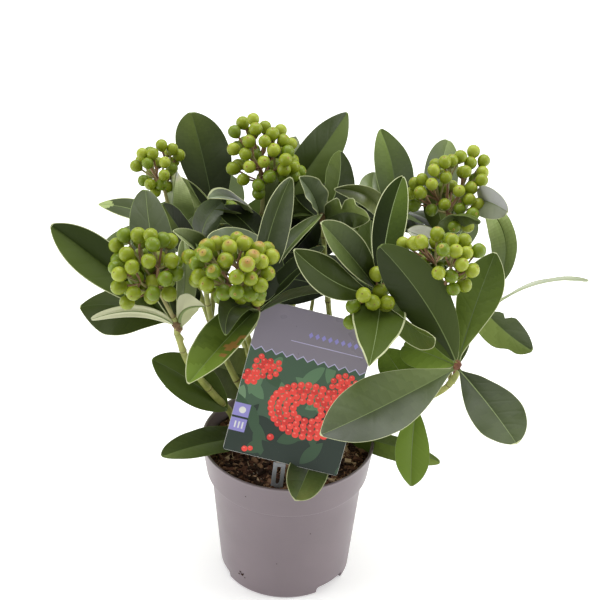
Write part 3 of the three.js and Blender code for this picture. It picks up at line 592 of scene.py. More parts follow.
# Leaves of the inside and the far side: shoot, azimuth, elevation, roll, reach, width, bow.
INNER = [
    ('A', 53, -25, 5, 69, 26, 3),
    ('A', 98, -31, -10, 67, 24, 4),
    ('A', 225, -30, -13, 65, 24, 7),
    ('K', 32, -11, -26, 67, 27, 3),
    ('K', 79, -30, 26, 77, 26, 6),
    ('K', 136, -12, -24, 79, 29, 5),
    ('B', 39, 2, -5, 60, 22, 3),
    ('B', 12, -17, 15, 81, 32, 5),
    ('B', 157, -19, -10, 60, 24, 3),
    ('B', 181, 7, 29, 79, 26, 3),
    ('B', 2, 13, -2, 68, 27, 4),
    ('R', 52, -6, -10, 52, 19, 3),
    ('R', 103, -7, -21, 56, 19, 5),
    ('R', 21, -25, 9, 56, 19, 5),
    ('H', 32, -28, -1, 74, 25, 3),
    ('H', 47, 4, -22, 61, 22, 5),
    ('H', 121, -23, -24, 71, 26, 6),
    ('H', 135, 6, 0, 67, 22, 4),
    ('E', 90, -37, -6, 72, 25, 3),
    ('E', 119, -9, 10, 60, 21, 6),
    ('E', 80, -6, -21, 72, 29, 5),
    ('C', 119, -9, 17, 60, 21, 6),
    ('C', 84, -5, 14, 54, 18, 3),
    ('D', 27, 36, -9, 58, 22, 2),
    ('D', 14, 3, -37, 72, 29, 5),
    ('D', 102, -30, 27, 56, 22, 3),
    ('G', 8, 24, -32, 63, 22, 4),
    ('G', 162, 10, -12, 57, 21, 6),
    ('G', 132, -10, -5, 73, 29, 3),
    ('G', 60, -23, 26, 70, 24, 7),
    ('G', 100, -30, 4, 54, 20, 6),
    ('F', 123, 33, -30, 73, 24, 7),
    ('F', 93, -15, 2, 70, 24, 5),
    ('M', -42, 19, -12, 62, 24, 5),
    ('M', 43, -35, -10, 66, 22, 6),
    ('M', 43, 9, 8, 54, 22, 3),
    ('M', -80, 32, -24, 57, 23, 6),
    ('Q', 50, -48, -2, 56, 19, 6),
    ('Q', 165, -23, 13, 52, 18, 6),
    ('Q', 83, -7, -18, 69, 25, 5),
    ('Q', 119, -1, -1, 67, 25, 3),
    ('Q', -91, -5, -9, 55, 21, 6),
    ('LR', -21, 25, -13, 65, 24, 4),
    ('LR', 90, -9, -25, 71, 25, 6),
    ('LR', 101, 28, 18, 71, 24, 4),
    ('LR', 50, 16, -20, 76, 26, 6),
    ('LR', 157, -7, 9, 74, 27, 7),
    ('LC', 200, -2, 3, 62, 25, 5),
    ('LC', 138, -17, 3, 56, 21, 5),
    ('C5', 150, -2, 0, 52, 23, 4),
    ('P3', 40, 6, 0, 62, 25, 4),
    ('A', 178, -22, 0, 62, 26, 4),
    ('J3', 66, 12, 6, 62, 24, 4),
    ('J1', 20, 24, 30, 75, 27, 4),
    ('J1', 46, -13, -20, 67, 25, 5),
    ('J1', 153, 4, 11, 80, 29, 4),
    ('J1', 98, -25, -9, 75, 29, 4),
    ('J1', 205, 0, 14, 75, 30, 5),
    ('J1', 87, 9, 16, 84, 31, 6),
    ('J1', 174, -27, 14, 72, 27, 6),
    ('J1', 242, 40, -4, 70, 28, 4),
    ('J1', -1, -18, -4, 71, 28, 4),
    ('J2', 82, 19, 15, 80, 28, 4),
    ('J2', 132, -5, 10, 76, 29, 2),
    ('J2', 69, -20, -3, 74, 28, 3),
    ('J2', 22, -3, -21, 75, 29, 5),
    ('J2', 128, 38, 21, 72, 25, 5),
    ('J2', -22, 32, 30, 72, 25, 3),
    ('J2', 207, 20, -8, 75, 27, 3),
    ('J2', -28, -9, 16, 74, 29, 3),
    ('J2', 181, -9, -5, 80, 30, 6),
    ('J3', 96, -30, 11, 69, 24, 6),
    ('J3', 38, -36, -17, 65, 24, 3),
    ('J3', 80, 8, -40, 68, 24, 3),
    ('J3', 137, -34, 2, 72, 27, 5),
    ('J3', 127, 24, 29, 66, 24, 6),
    ('B', 8, -24, 60, 55, 24, 3),
    ('R', 143, -56, -100, 46, 22, 3),
]

# Shoots: where each whorl sits, the way its shoot points, and the foliage node it belongs to.
SHOOTS = {
    "A": ((-79, 40, 243), (-0.35, 0.30, 0.89), "foliage_back_left"),
    "K": ((-49, 55, 231), (0.10, 0.45, 0.89), "foliage_back_left"),
    "M": ((-58, 5, 239), (-0.10, -0.12, 0.99), "foliage_back_left"),
    "B": ((-22, 50, 243), (0.00, 0.20, 0.98), "foliage_back_centre"),
    "Q": ((-16, 5, 250), (0.10, -0.15, 0.98), "foliage_back_centre"),
    "R": ((18, 30, 260), (-0.15, 0.10, 0.98), "foliage_back_centre"),
    "C": ((-72, -40, 220), (-0.25, -0.35, 0.90), "foliage_front_left"),
    "C5": ((-40, -2, 129), (-0.20, -0.25, 0.95), "foliage_low_left"),
    "D": ((-22, -45, 237), (-0.10, -0.40, 0.91), "foliage_front_centre"),
    "D7": ((-28, -15, 184), (-0.05, -0.50, 0.86), "foliage_front_centre"),
    "G": ((56, -30, 242), (0.15, -0.30, 0.94), "foliage_right_centre"),
    "H": ((61, 40, 250), (0.20, 0.20, 0.96), "foliage_inner_right"),
    "E": ((101, 45, 238), (0.40, 0.30, 0.87), "foliage_back_right"),
    "E2": ((122, 55, 266), (0.50, 0.10, 0.86), "foliage_back_right"),
    "F": ((104, -65, 212), (0.20, -0.35, 0.92), "foliage_front_right"),
    "F8": ((112, 0, 193), (0.60, -0.10, 0.79), "foliage_under_right"),
    "P4": ((83, -45, 171), (0.40, -0.50, 0.77), "foliage_under_right"),
    "P1": ((-18, 5, 105), (-0.2, -0.2, 0.96), "foliage_low_front_left"),
    "P2": ((23, -10, 114), (0.1, -0.5, 0.86), "foliage_low_front"),
    "P3": ((34, 10, 105), (0.3, -0.1, 0.95), "foliage_low_right"),
    "LR": ((-8, 36, 120), (0.0, 0.5, 0.86), "foliage_low_rear"),
    "LC": ((36, 16, 175), (0.3, 0.0, 0.95), "foliage_inner_right"),
    "J1": ((-56, 95, 198), (-0.15, 0.40, 0.90), "foliage_rear_left"),
    "J2": ((18, 104, 202), (0.05, 0.40, 0.91), "foliage_rear_middle"),
    "J3": ((102, 90, 186), (0.20, 0.40, 0.89), "foliage_rear_right"),
}
# leaves of each of these pieces are joined: about 30 to 60 leaves each
GROUPS = {
    "leaves_left": ("foliage_front_left", "foliage_back_left", "foliage_low_left", "foliage_low_front_left"),
    "leaves_middle": ("foliage_front_centre", "foliage_back_centre", "foliage_low_front", "foliage_low_rear"),
    "leaves_right": ("foliage_front_right", "foliage_right_centre", "foliage_back_right", "foliage_inner_right",
                     "foliage_under_right", "foliage_low_right"),
    "leaves_rear": ("foliage_rear_left", "foliage_rear_middle", "foliage_rear_right"),
}
# leaves without a pale edge
PLAIN = ("B1", "B5", "B6", "B7", "H2", "H3", "E1", "E3", "E4", "E7", "C5", "C9", "P1", "P3", "P4", "F3", "F5", "F6", "D2", "D5", "D7", "G5", "B2", "C6")
# leaves whose midrib hardly shows
FAINT = ("B1", "C5", "P1", "D7", "C3", "B5", "E4", "P3", "C9", "C1", "B6", "E3", "H2", "F4", "R1", "B8")
# what sets single leaves apart: margin width, wavy edges, notches, spots
SPECIAL = {
    "B3": dict(margin=1.5, curl=-0.02, thick=0.8), "B8": dict(margin=0.6, wave=0.9), "R1": dict(margin=0.5, wave=3.2, notch=[(0.50, 7.5, 0.07, -1)]),
    "G1": dict(margin=0.5), "G2": dict(margin=0.5), "H1": dict(margin=0.5), "H2": dict(margin=0.3),
    "D3": dict(margin=0.5), "D4": dict(margin=0.4), "C8": dict(margin=0.5), "C7": dict(margin=0.8, curl=0.12), "C6": dict(margin=0.35),
    "C1": dict(margin=0.6), "C3": dict(margin=0.35), "C10": dict(margin=0.4, under_slot="chalk"), "E4": dict(notch=[(0.58, 9.5, 0.075, -1), (0.705, 6.0, 0.03, -1), (0.86, 3.0, 0.05, 1)]),
    # the bands of D1 grow lighter towards the tip, painted light shining through the blade
    "D1": dict(margin=0.7, bands=[(0.24, "bottle"), (0.36, "olive"), (0.48, "grass"), (0.62, "green"), (0.78, "lime"), (1.1, "light")], spot=[(0.55, -0.60, 0.055, 0.26, "spot"), (0.47, -0.70, 0.05, 0.20, "spot"), (0.66, -0.55, 0.03, 0.12, "spot")]),
    "G3": dict(margin=1.1, wave=0.8), "A2": dict(margin=0.5, bands=[(0.80, "film"), (1.1, "under")]), "D6": dict(margin=0.6), "E7": dict(margin=0.3), "E6": dict(wave=0.8, margin=0.3, under_slot="moss", margin_slot="edge"), "F7": dict(under_slot="pale", margin_slot="edge", rib_slot="pale", twist=-34), "A1": dict(under_slot="under_light"), "C4": dict(under_slot="chalk"), "D5": dict(under_slot="moss", margin_slot="edge", margin=0.2, rib_slot="vein"),
    "F4": dict(margin=0.45), "H4": dict(margin=0.5), "P2": dict(margin=0.5), "E2": dict(margin=0.3), "B4": dict(margin=0.5), "E5": dict(margin=0.4),
    "G4": dict(margin=0.5),
}
# the tone of each leaf of the front, dealt out by spray; over the leaf's own colour many tones carry painted light and
# shade: deep and shade painted shade, the greyed sheen, celadon, silver, pale and meadow partly a painted reflection,
# chalk, under_light and light partly painted light
TONE = {
    "A1": "under_light", "A2": "film", "B1": "dark", "B2": "sheen", "B3": "sheen", "B4": "sheen", "B5": "leafy", "B6": "wet",
    "B7": "moss", "B8": "sheen", "C1": "bottle", "C3": "moss", "C4": "chalk", "C5": "olive", "C6": "film", "C7": "pale", "C8": "celadon",
    "C9": "dark", "C10": "chalk", "D1": "green", "D2": "film", "D3": "mid", "D4": "leafy", "D5": "deep", "D6": "olive", "D7": "wet",
    "E1": "sage", "E2": "silver", "E3": "meadow", "E4": "fresh", "E5": "chalk", "E6": "moss", "E7": "moss", "F1": "satin", "F2": "mid",
    "F3": "mid", "F4": "olive", "F5": "light", "F6": "light", "F7": "sage", "G1": "moss", "G2": "leafy", "G3": "olive", "G4": "olive",
    "G5": "leafy", "H1": "wet", "H2": "bottle", "H3": "meadow", "H4": "shade", "P1": "gloss", "P2": "gloss", "P3": "olive", "P4": "light",
    "R1": "fresh", "K1": "under",
}
# how the tone of a blade runs: lighter towards the tip, lighter on one half, lighter as a whole (negative: darker),
# and how much greyer it is (negative: greener); these lay painted light and shade over the leaf's own tone: painted
# sheen along the blade and in the grey, the lit and the shaded half of the fold
GRADE = {
    "A1": (1.6, 0, -0.3, 0), "B1": (1.5, -0.2, -0.15, 0), "B2": (1.8, 0.2, -0.25, 0), "B3": (1.6, -0.3, -0.2, 0),
    "B5": (0, 0.45, 0.05, 0), "B7": (0.3, -0.6, -0.05, 0), "C1": (0, -0.4, -0.05, 0), "C3": (0, 0, -0.1, -0.3),
    "C4": (0, 0.2, -0.05, 0), "C6": (0.4, 0, -0.05, 0), "C7": (0.8, 0, -0.2, 0), "C8": (0, 0.2, 0.05, 0),
    "C9": (1.8, -0.9, -0.35, -0.45), "D1": (1.1, 0, -0.15, 0), "D2": (-0.8, 0, 0.1, 0), "D3": (0.5, 0, -0.15, 0),
    "D4": (1.8, 0.45, -0.3, 0), "D7": (-1.1, 0.35, 0.25, 0), "E1": (1.1, 0.2, -0.3, 0), "E2": (0, -0.5, -0.05, 0),
    "E3": (-1.5, 0, 0.05, 0), "E4": (-0.55, 0.6, 0, 0), "E5": (0, 0, 0.15, 0), "E6": (-0.6, 0, 0.5, 0), "E7": (0, 0, 0.5, 0),
    "F1": (-0.65, 0.4, -0.05, 0), "F2": (0.4, 0, -0.1, 0), "F3": (0, 0.3, 0, 0), "F4": (-0.5, 0, 0.05, 0), "F5": (-0.35, 0, 0.05, 0),
    "F6": (0.85, 0, -0.25, 0), "G2": (0.85, -0.2, -0.05, 0), "H1": (-1.2, 0, 0.3, 0), "H2": (1, -0.3, -0.15, 0),
    "H3": (0, 0, -0.2, 0), "H4": (1, 0.65, -0.1, 0), "P1": (0.9, -0.35, -0.05, 0), "P2": (1.4, -0.4, -0.2, 0),
    "P3": (0.5, 0.3, 0.05, 0), "R1": (1.05, -0.65, -0.15, 0),
}
leaf_pieces = {g: Piece(g, LEAF_MATS) for g in GROUPS}
piece_of = {n: leaf_pieces[g] for g, ns in GROUPS.items() for n in ns}
leaf_log = []                    # (name, piece, first face, one past its last face) of every leaf


def add_leaf(k, shoot, az, el, roll, reach, width, bow, side=0.0, fold=None, peak=None, sharp=None, tone=None, seed=0, **kw):
    where, axis, node = SHOOTS[shoot]
    rnd = np.random.default_rng(4000 + seed)
    d, _ = blade_direction(az, el, roll)
    axis = unit(np.array(axis, float))
    # leaves leave the shoot one above the other, low ones outside
    rise = (-3.5 + 5.0 * rnd.random()) if el < 45 else (0.5 + 3.0 * rnd.random())
    out = unit(d - (d @ axis) * axis)
    shift = axis * rise + out * 1.6
    kw.setdefault("twist", 14 * rnd.normal())
    kw.setdefault("curl", 0.05 + 0.03 * rnd.random())
    tone = tone or rnd.choice(["moss", "mid", "mid", "bottle", "leafy", "olive", "sage"])
    start = piece_of[node].faces
    blade(piece_of[node], where, az, el, roll, reach, width, bow, side,
          fold=9 + 8 * rnd.random() if fold is None else fold,
          peak=0.54 + 0.05 * rnd.random() if peak is None else peak,
          sharp=0.64 + 0.12 * rnd.random() if sharp is None else sharp, tone=tone, seed=seed, shift=shift, **kw)
    leaf_log.append((k, piece_of[node].name, start, piece_of[node].faces))


for i, (name, shoot, az, el, roll, reach, width, bow, side, fold, peak, sharp, kind) in enumerate(LEAVES):
    extra = dict(SPECIAL.get(name, {}))
    tone = TONE[name]
    extra.setdefault("twist", 0.0)
    if name in PLAIN:
        extra.setdefault("margin_slot", "edge")
        extra.setdefault("margin", 0.2)
    if name in FAINT:
        extra.setdefault("rib_slot", "vein_dark" if TONE[name] in ("dark", "shade", "moss", "bottle") else "vein")
    add_leaf(name, shoot, az, el, roll, reach, width, bow, side, fold, peak, sharp, tone, seed=i,
             rows=44 if reach > 70 else 36, grade=GRADE.get(name), **extra)
for i, (shoot, az, el, roll, reach, width, bow) in enumerate(INNER):
    # those that lie low inside the crown get the deep tone and a dark underside and rib, painted shade, and hardly any
    # pale edge; b7 gets the pale meadow tone, painted light
    where, axis, node = SHOOTS[shoot]
    where_to = "%s%d" % (shoot.lower(), i)
    inside = where_to in ("d23", "d24", "d25") or el < 22 and math.hypot(where[0] + reach * math.cos(az * RAD) - 10, where[1] + reach * math.sin(az * RAD) - 20) < 85
    add_leaf("%s%d" % (shoot.lower(), i), shoot, az, el, roll, reach, width, bow, seed=300 + i, rows=30,
             tone={"b7": "meadow", "b10": "mid"}.get(where_to, "deep" if inside else None), margin=0.16 if inside else 0.26, margin_slot="edge", rib_slot="vein" if inside else "rib", under_slot="dark" if inside else "under")

# --------------------------------------------------------------------- limbs
# the same curves as the CAD limbs: points, foot radius, tip radius, flare at the ground
LIMBS = {
    "stem_left": ([(-35, 14, 97), (-39, 8, 117), (-51, -9, 146), (-66, -26, 182), (-72, -38, 212)], 2.5, 2.1, 1.4),
    "stem_middle": ([(-12, 12, 97), (-15, 13, 125), (-20, 26, 170), (-22, 42, 212), (-22, 49, 236)], 4.6, 2.4, 2.0),
    "stem_right": ([(14, 10, 97), (19, 10, 125), (34, 20, 170), (52, 33, 215), (60, 39, 240)], 4.4, 2.4, 2.0),
    "bough_back_left": ([(-14, 13, 112), (-31, 11, 134), (-44, 16, 158), (-64, 30, 205), (-77, 39, 236)], 2.3, 1.9, 0),
    "bough_front_centre": ([(-15, 12, 118), (-20, 8, 150), (-29, -8, 195), (-26, -34, 224)], 2.3, 1.9, 0),
    "bough_rear_left": ([(-15, 14, 128), (-30, 38, 150), (-46, 72, 176), (-55, 92, 196)], 2.7, 2.0, 0),
    "bough_rear_middle": ([(-17, 17, 142), (-8, 44, 160), (6, 78, 182), (14, 100, 205)], 2.7, 2.0, 0),
    "bough_right_centre": ([(18, 10, 116), (30, 4, 150), (44, -14, 195), (54, -28, 234)], 2.4, 1.9, 0),
    "bough_front_right": ([(17, 10, 108), (44, -6, 128), (76, -36, 160), (98, -58, 190), (104, -64, 205)], 2.6, 1.9, 0),
    "bough_back_right": ([(22, 12, 132), (50, 18, 160), (78, 32, 198), (98, 43, 229)], 2.3, 1.9, 0),
    "bough_rear_right": ([(26, 15, 146), (46, 42, 157), (74, 72, 171), (98, 88, 184)], 2.7, 2.0, 0),
}
# the last stretch of each bough into its shoot, and side twigs to the shoots between
TWIGS = [
    ([(-70, -33, 204), (-72, -38, 212), (-72, -40, 220), (-74, -42, 227)], 2.1, 1.7),
    ([(-22, 46, 228), (-22, 49, 236), (-22, 50, 243), (-22, 51, 251)], 2.4, 1.9),
    ([(57, 37, 232), (60, 39, 240), (61, 40, 250), (62, 41, 256)], 2.4, 1.7),
    ([(-74, 37, 229), (-77, 39, 236), (-79, 40, 243), (-81, 42, 250)], 2.2, 1.8),
    ([(-28, -23, 213), (-26, -34, 224), (-22, -45, 237), (-23, -47, 245)], 1.9, 1.6),
    ([(-52, 86, 191), (-55, 92, 196), (-56, 95, 198), (-57, 98, 205)], 2.0, 1.7),
    ([(12, 94, 199), (14, 100, 205), (18, 104, 202), (18, 107, 210)], 2.0, 1.7),
    ([(51, -23, 225), (54, -28, 234), (56, -30, 242), (57, -32, 249)], 2.2, 1.8),
    ([(102, -62, 198), (104, -64, 205), (104, -65, 212), (104, -65, 216)], 2.0, 1.5),
    ([(94, 41, 222), (98, 43, 229), (101, 45, 238), (103, 47, 246)], 2.2, 1.9),
    ([(92, 84, 182), (98, 88, 184), (102, 90, 186), (103, 92, 193)], 2.0, 1.7),
    ([(-54, 23, 182), (-53, 34, 196), (-52, 42, 212), (-49, 55, 231), (-48, 58, 237)], 2.0, 1.6),
    ([(-49, 19, 169), (-53, 12, 190), (-56, 8, 212), (-58, 5, 239), (-58, 4, 244)], 2.0, 1.6),
    ([(-20, 26, 170), (-17, 18, 190), (-16, 11, 215), (-16, 5, 250), (-16, 4, 255)], 2.0, 1.6),
    ([(30, 18, 158), (26, 20, 184), (22, 25, 215), (18, 30, 260), (17, 31, 264)], 2.0, 1.5),
    ([(101, 45, 238), (107, 47, 246), (115, 51, 257), (122, 55, 266)], 1.6, 1.2),
    ([(-12, 14, 108), (-11, 22, 112), (-8, 36, 120), (-8, 39, 124)], 1.9, 1.4),
    ([(34, 20, 170), (36, 16, 175), (37, 15, 180)], 1.8, 1.2),
    ([(14, 8, 103), (20, 0, 108), (23, -10, 114), (23, -12, 117)], 1.7, 1.2),
    ([(17, 10, 100), (26, 10, 103), (34, 10, 105), (36, 10, 108)], 1.7, 1.2),
    ([(-14, 10, 100), (-17, 7, 103), (-18, 5, 105)], 1.6, 1.2),
    ([(78, 32, 198), (92, 22, 192), (104, 8, 190), (112, 0, 193)], 1.5, 1.0),
    ([(2, 12, 125), (8, 18, 150), (12, 24, 185), (14, 26, 205), (16, 29, 240)], 1.5, 1.1),
]
# the shoots that end in fruit carry a knuckle of scars and scales under the whorl
KNUCKLES = ["A", "K", "M", "B", "Q", "R", "C", "D", "G", "H", "E", "F", "J1", "J2", "J3"]

bark_green = material("bark_green", lin(116, 128, 62), rough=0.5, rough_span=0.08, rough_scale=90, spec=0.4,
                      mottles=[(0.30, lin(122, 128, 58)), (0.55, lin(150, 154, 80)), (0.80, lin(164, 158, 94))],
                      mottle_scale=150, mottle_detail=5, bumps=[(300, 5, 0.0003, 0.5)])
bark_brown = material("bark_brown", lin(104, 80, 52), rough=0.7, rough_span=0.08, rough_scale=120, spec=0.3,
                      mottles=[(0.30, lin(72, 52, 34)), (0.52, lin(112, 88, 56)), (0.75, lin(146, 122, 82))],
                      mottle_scale=260, mottle_detail=6, bumps=[(420, 6, 0.0005, 0.7)])
bark_red = material("bark_red", lin(112, 74, 52), rough=0.55, rough_span=0.08, rough_scale=120, spec=0.4,
                    mottles=[(0.30, lin(88, 50, 36)), (0.55, lin(124, 78, 54)), (0.80, lin(150, 122, 82))],
                    mottle_scale=220, mottle_detail=5, bumps=[(420, 6, 0.0004, 0.6)])
bark_scar = material("bark_scar", lin(112, 104, 58), rough=0.6, rough_span=0.08, rough_scale=120, spec=0.3,
                     mottles=[(0.30, lin(96, 86, 46)), (0.60, lin(120, 112, 64)), (0.80, lin(134, 126, 76))],
                     mottle_scale=220, mottle_detail=5, bumps=[(420, 6, 0.0004, 0.6)])
bark = Piece("bark", [bark_green, bark_brown, bark_red, bark_scar])


def limb(path, r0, r1, flare, seed, young=False):
    p, s = curve_points(path, 1.2)
    rnd = np.random.default_rng(seed)
    t = s / s[-1]
    r = r0 + (r1 - r0) * t + flare * np.maximum(0, 1 - 7 * t) ** 1.5
    # rings where the shoot paused, a little thicker, and scars in pairs round the stem
    rings = np.arange(14 + 8 * rnd.random(), s[-1] - 6, 17 + 9 * rnd.random())
    for at in rings:
        r = r + 0.28 * np.exp(-((s - at) / 1.5) ** 2) + 0.10 * np.exp(-((s - at - 3.2) / 1.0) ** 2)
    ph = rnd.random(6) * 2 * math.pi
    scars = [(at + rnd.normal() * 1.5, rnd.random() * 2 * math.pi) for at in rings for _ in range(3)]

    def ridge(th):
        k = 1 + 0.022 * np.sin(7 * th + ph[0] + s[:, None] / 21) + 0.016 * np.sin(11 * th + ph[1] - s[:, None] / 13)
        k = k + 0.012 * np.sin(s[:, None] * 2.3 + 2 * np.sin(3 * th + ph[2]))
        for at, ang in scars:
            da = np.angle(np.exp(1j * (th - ang)))
            ds = s[:, None] - at
            k = k + 0.10 * np.exp(-((ds + 0.9 * np.cos(da * 1.6)) / 0.8) ** 2 - (da / 0.55) ** 2)
        return k
    mid = (s[:-1] + s[1:]) / 2
    slots = np.zeros(len(mid), int)
    if flare:
        slots[mid < 5 + 4 * rnd.random()] = 1
    for at in rings:
        slots[np.abs(mid - at) < 0.65] = 3
    tube(bark, p, r, 20, slots, ridge=ridge, cap_slot=1)


for i, (name, (path, r0, r1, flare)) in enumerate(LIMBS.items()):
    path = [tuple(q) for q in path]
    if flare:
        path = [(path[0][0], path[0][1], path[0][2] - 4.5)] + path
    limb(path, r0, r1, flare, 50 + i)
for i, (path, r0, r1) in enumerate(TWIGS):
    limb(path, r0, r1, 0, 90 + i, young=True)


def knuckle(at, axis, seed, slot, length=11.0, radius=2.7):
    """The woody, scarred end of a shoot just under its whorl."""
    rnd = np.random.default_rng(seed)
    axis = unit(np.array(axis, float))
    at = np.array(at, float)
    s = np.linspace(-length * 0.75, length * 0.45, 30)
    p = at + s[:, None] * axis
    r = radius * (1 - 0.35 * ((s - 0.5) / length * 1.5) ** 2)
    for k in range(5):
        r = r + 0.38 * np.exp(-((s - (-6 + 2.5 * k)) / 0.7) ** 2)
    ph = rnd.random(3) * 6.28
    r = r * np.clip((s + length * 0.78) / 3.0, 0.55, 1) * np.clip((length * 0.48 - s) / 2.5, 0.3, 1)
    tube(bark, p, r, 18, slot, ridge=lambda th: 1 + 0.08 * np.sin(3 * th + ph[0] + s[:, None]) + 0.05 * np.sin(8 * th + ph[1] - 2 * s[:, None]))


for i, k in enumerate(KNUCKLES):
    where, axis, _ = SHOOTS[k]
    knuckle(where, axis, 130 + i, 2 if k == "F" else 1, radius={"F": 2.1, "C": 2.8}.get(k, 2.3))

# --------------------------------------------------------------------- fruit
def fruit_material(name, rgb, rough=0.36):
    return material(name, lin(*rgb), rough=rough, rough_span=0.05, rough_scale=80, spec=0.34,
                    bumps=[(700, 3, 0.00006, 0.3)], sss=0.18, sss_radius=(0.7, 1.0, 0.25), sss_scale=0.002)


# berry_pale and berry_deep serve partly as a lit and a shaded copy of the lime fruit, painted light and shade
BERRY_MATS = [fruit_material("berry_lime", (130, 144, 28)), fruit_material("berry_deep", (108, 128, 24)),
              fruit_material("berry_pale", (150, 162, 46)), fruit_material("berry_blush", (156, 144, 56)), fruit_material("berry_blush_deep", (166, 128, 66)),
              material("berry_tip", lin(122, 106, 48), rough=0.6, rough_span=0.05, rough_scale=80, spec=0.3, bumps=[(900, 3, 0.0001, 0.5)]),
              material("berry_calyx", lin(112, 104, 54), rough=0.6, rough_span=0.05, rough_scale=80, spec=0.3, bumps=[(900, 3, 0.0001, 0.5)])]
stalk_mat = material("fruit_stalk", lin(146, 142, 92), rough=0.55, rough_span=0.06, rough_scale=120, spec=0.35,
                     mottles=[(0.30, lin(126, 112, 72)), (0.55, lin(148, 142, 92)), (0.80, lin(166, 166, 112))],
                     mottle_scale=120, mottle_detail=4, bumps=[(700, 4, 0.0002, 0.5)])
stalk_red = material("fruit_stalk_red", lin(146, 112, 84), rough=0.55, rough_span=0.06, rough_scale=120, spec=0.35,
                     mottles=[(0.30, lin(118, 82, 60)), (0.60, lin(152, 118, 88)), (0.85, lin(174, 152, 112))],
                     mottle_scale=160, mottle_detail=4, bumps=[(700, 4, 0.0002, 0.5)])

BERRY_TH = np.array([0, 3.6, 6.0, 12, 20, 31, 45, 62, 80, 98, 116, 134, 152, 166, 180]) * RAD
BERRY_SIDES = 16


def berry(piece, centre, outward, r, rnd, body, blush=0.0):
    """One fruit: a slightly pear-shaped ball with the style scar at its far end and the calyx at its stalk."""
    z = unit(outward)
    ref = vec(0, 0, 1) if abs(z[2]) < 0.9 else vec(1, 0, 0)
    x = unit(np.cross(ref, z))
    y = np.cross(z, x)
    th = BERRY_TH[1:-1]
    rr = r * (1 + 0.025 * np.cos(2 * th) - 0.02 * np.cos(3 * th))
    rr = rr + np.where(th < 6 * RAD, 0.10, 0.0) - np.where((th > 7 * RAD) & (th < 14 * RAD), 0.10, 0.0) + np.where(th > 160 * RAD, 0.3, 0)
    ph = np.arange(BERRY_SIDES) * 2 * math.pi / BERRY_SIDES
    lump = 1 + 0.012 * np.sin(2 * ph[None, :] + rnd.random() * 6.28) * np.sin(th)[:, None] + 0.01 * np.sin(3 * ph[None, :] + rnd.random() * 6.28) * np.sin(th)[:, None]
    R = rr[:, None] * lump
    p = (R * np.sin(th)[:, None] * np.cos(ph))[..., None] * x + (R * np.sin(th)[:, None] * np.sin(ph))[..., None] * y + (R * np.cos(th)[:, None] * np.ones_like(ph))[..., None] * z
    n = len(th)
    v = np.concatenate([p.reshape(-1, 3), [z * (r * 1.0 + 0.16)], [-z * (r * 1.02 + 0.25)]]) + centre
    g = grid_faces(n, BERRY_SIDES, wrap=True)
    band = np.repeat(np.arange(n - 1), BERRY_SIDES)
    k = np.arange(BERRY_SIDES)
    k2 = (k + 1) % BERRY_SIDES
    top, bot = n * BERRY_SIDES, n * BERRY_SIDES + 1
    c0 = np.stack([np.full(BERRY_SIDES, top), k, k2, np.full(BERRY_SIDES, -1)], 1)
    e = (n - 1) * BERRY_SIDES
    c1 = np.stack([np.full(BERRY_SIDES, bot), e + k2, e + k, np.full(BERRY_SIDES, -1)], 1)
    m = np.full(len(g), body)
    if blush > 0:
        m[band < 1 + blush * 5] = 3
        m[band < blush * 3] = 4
    m[band == 0] = 5
    m[band >= n - 3] = body
    m[band == n - 2] = 6
    f = np.concatenate([g[:, ::-1], c0, c1])
    piece.add(v, f, np.concatenate([m, np.full(BERRY_SIDES, 5), np.full(BERRY_SIDES, 6)]))


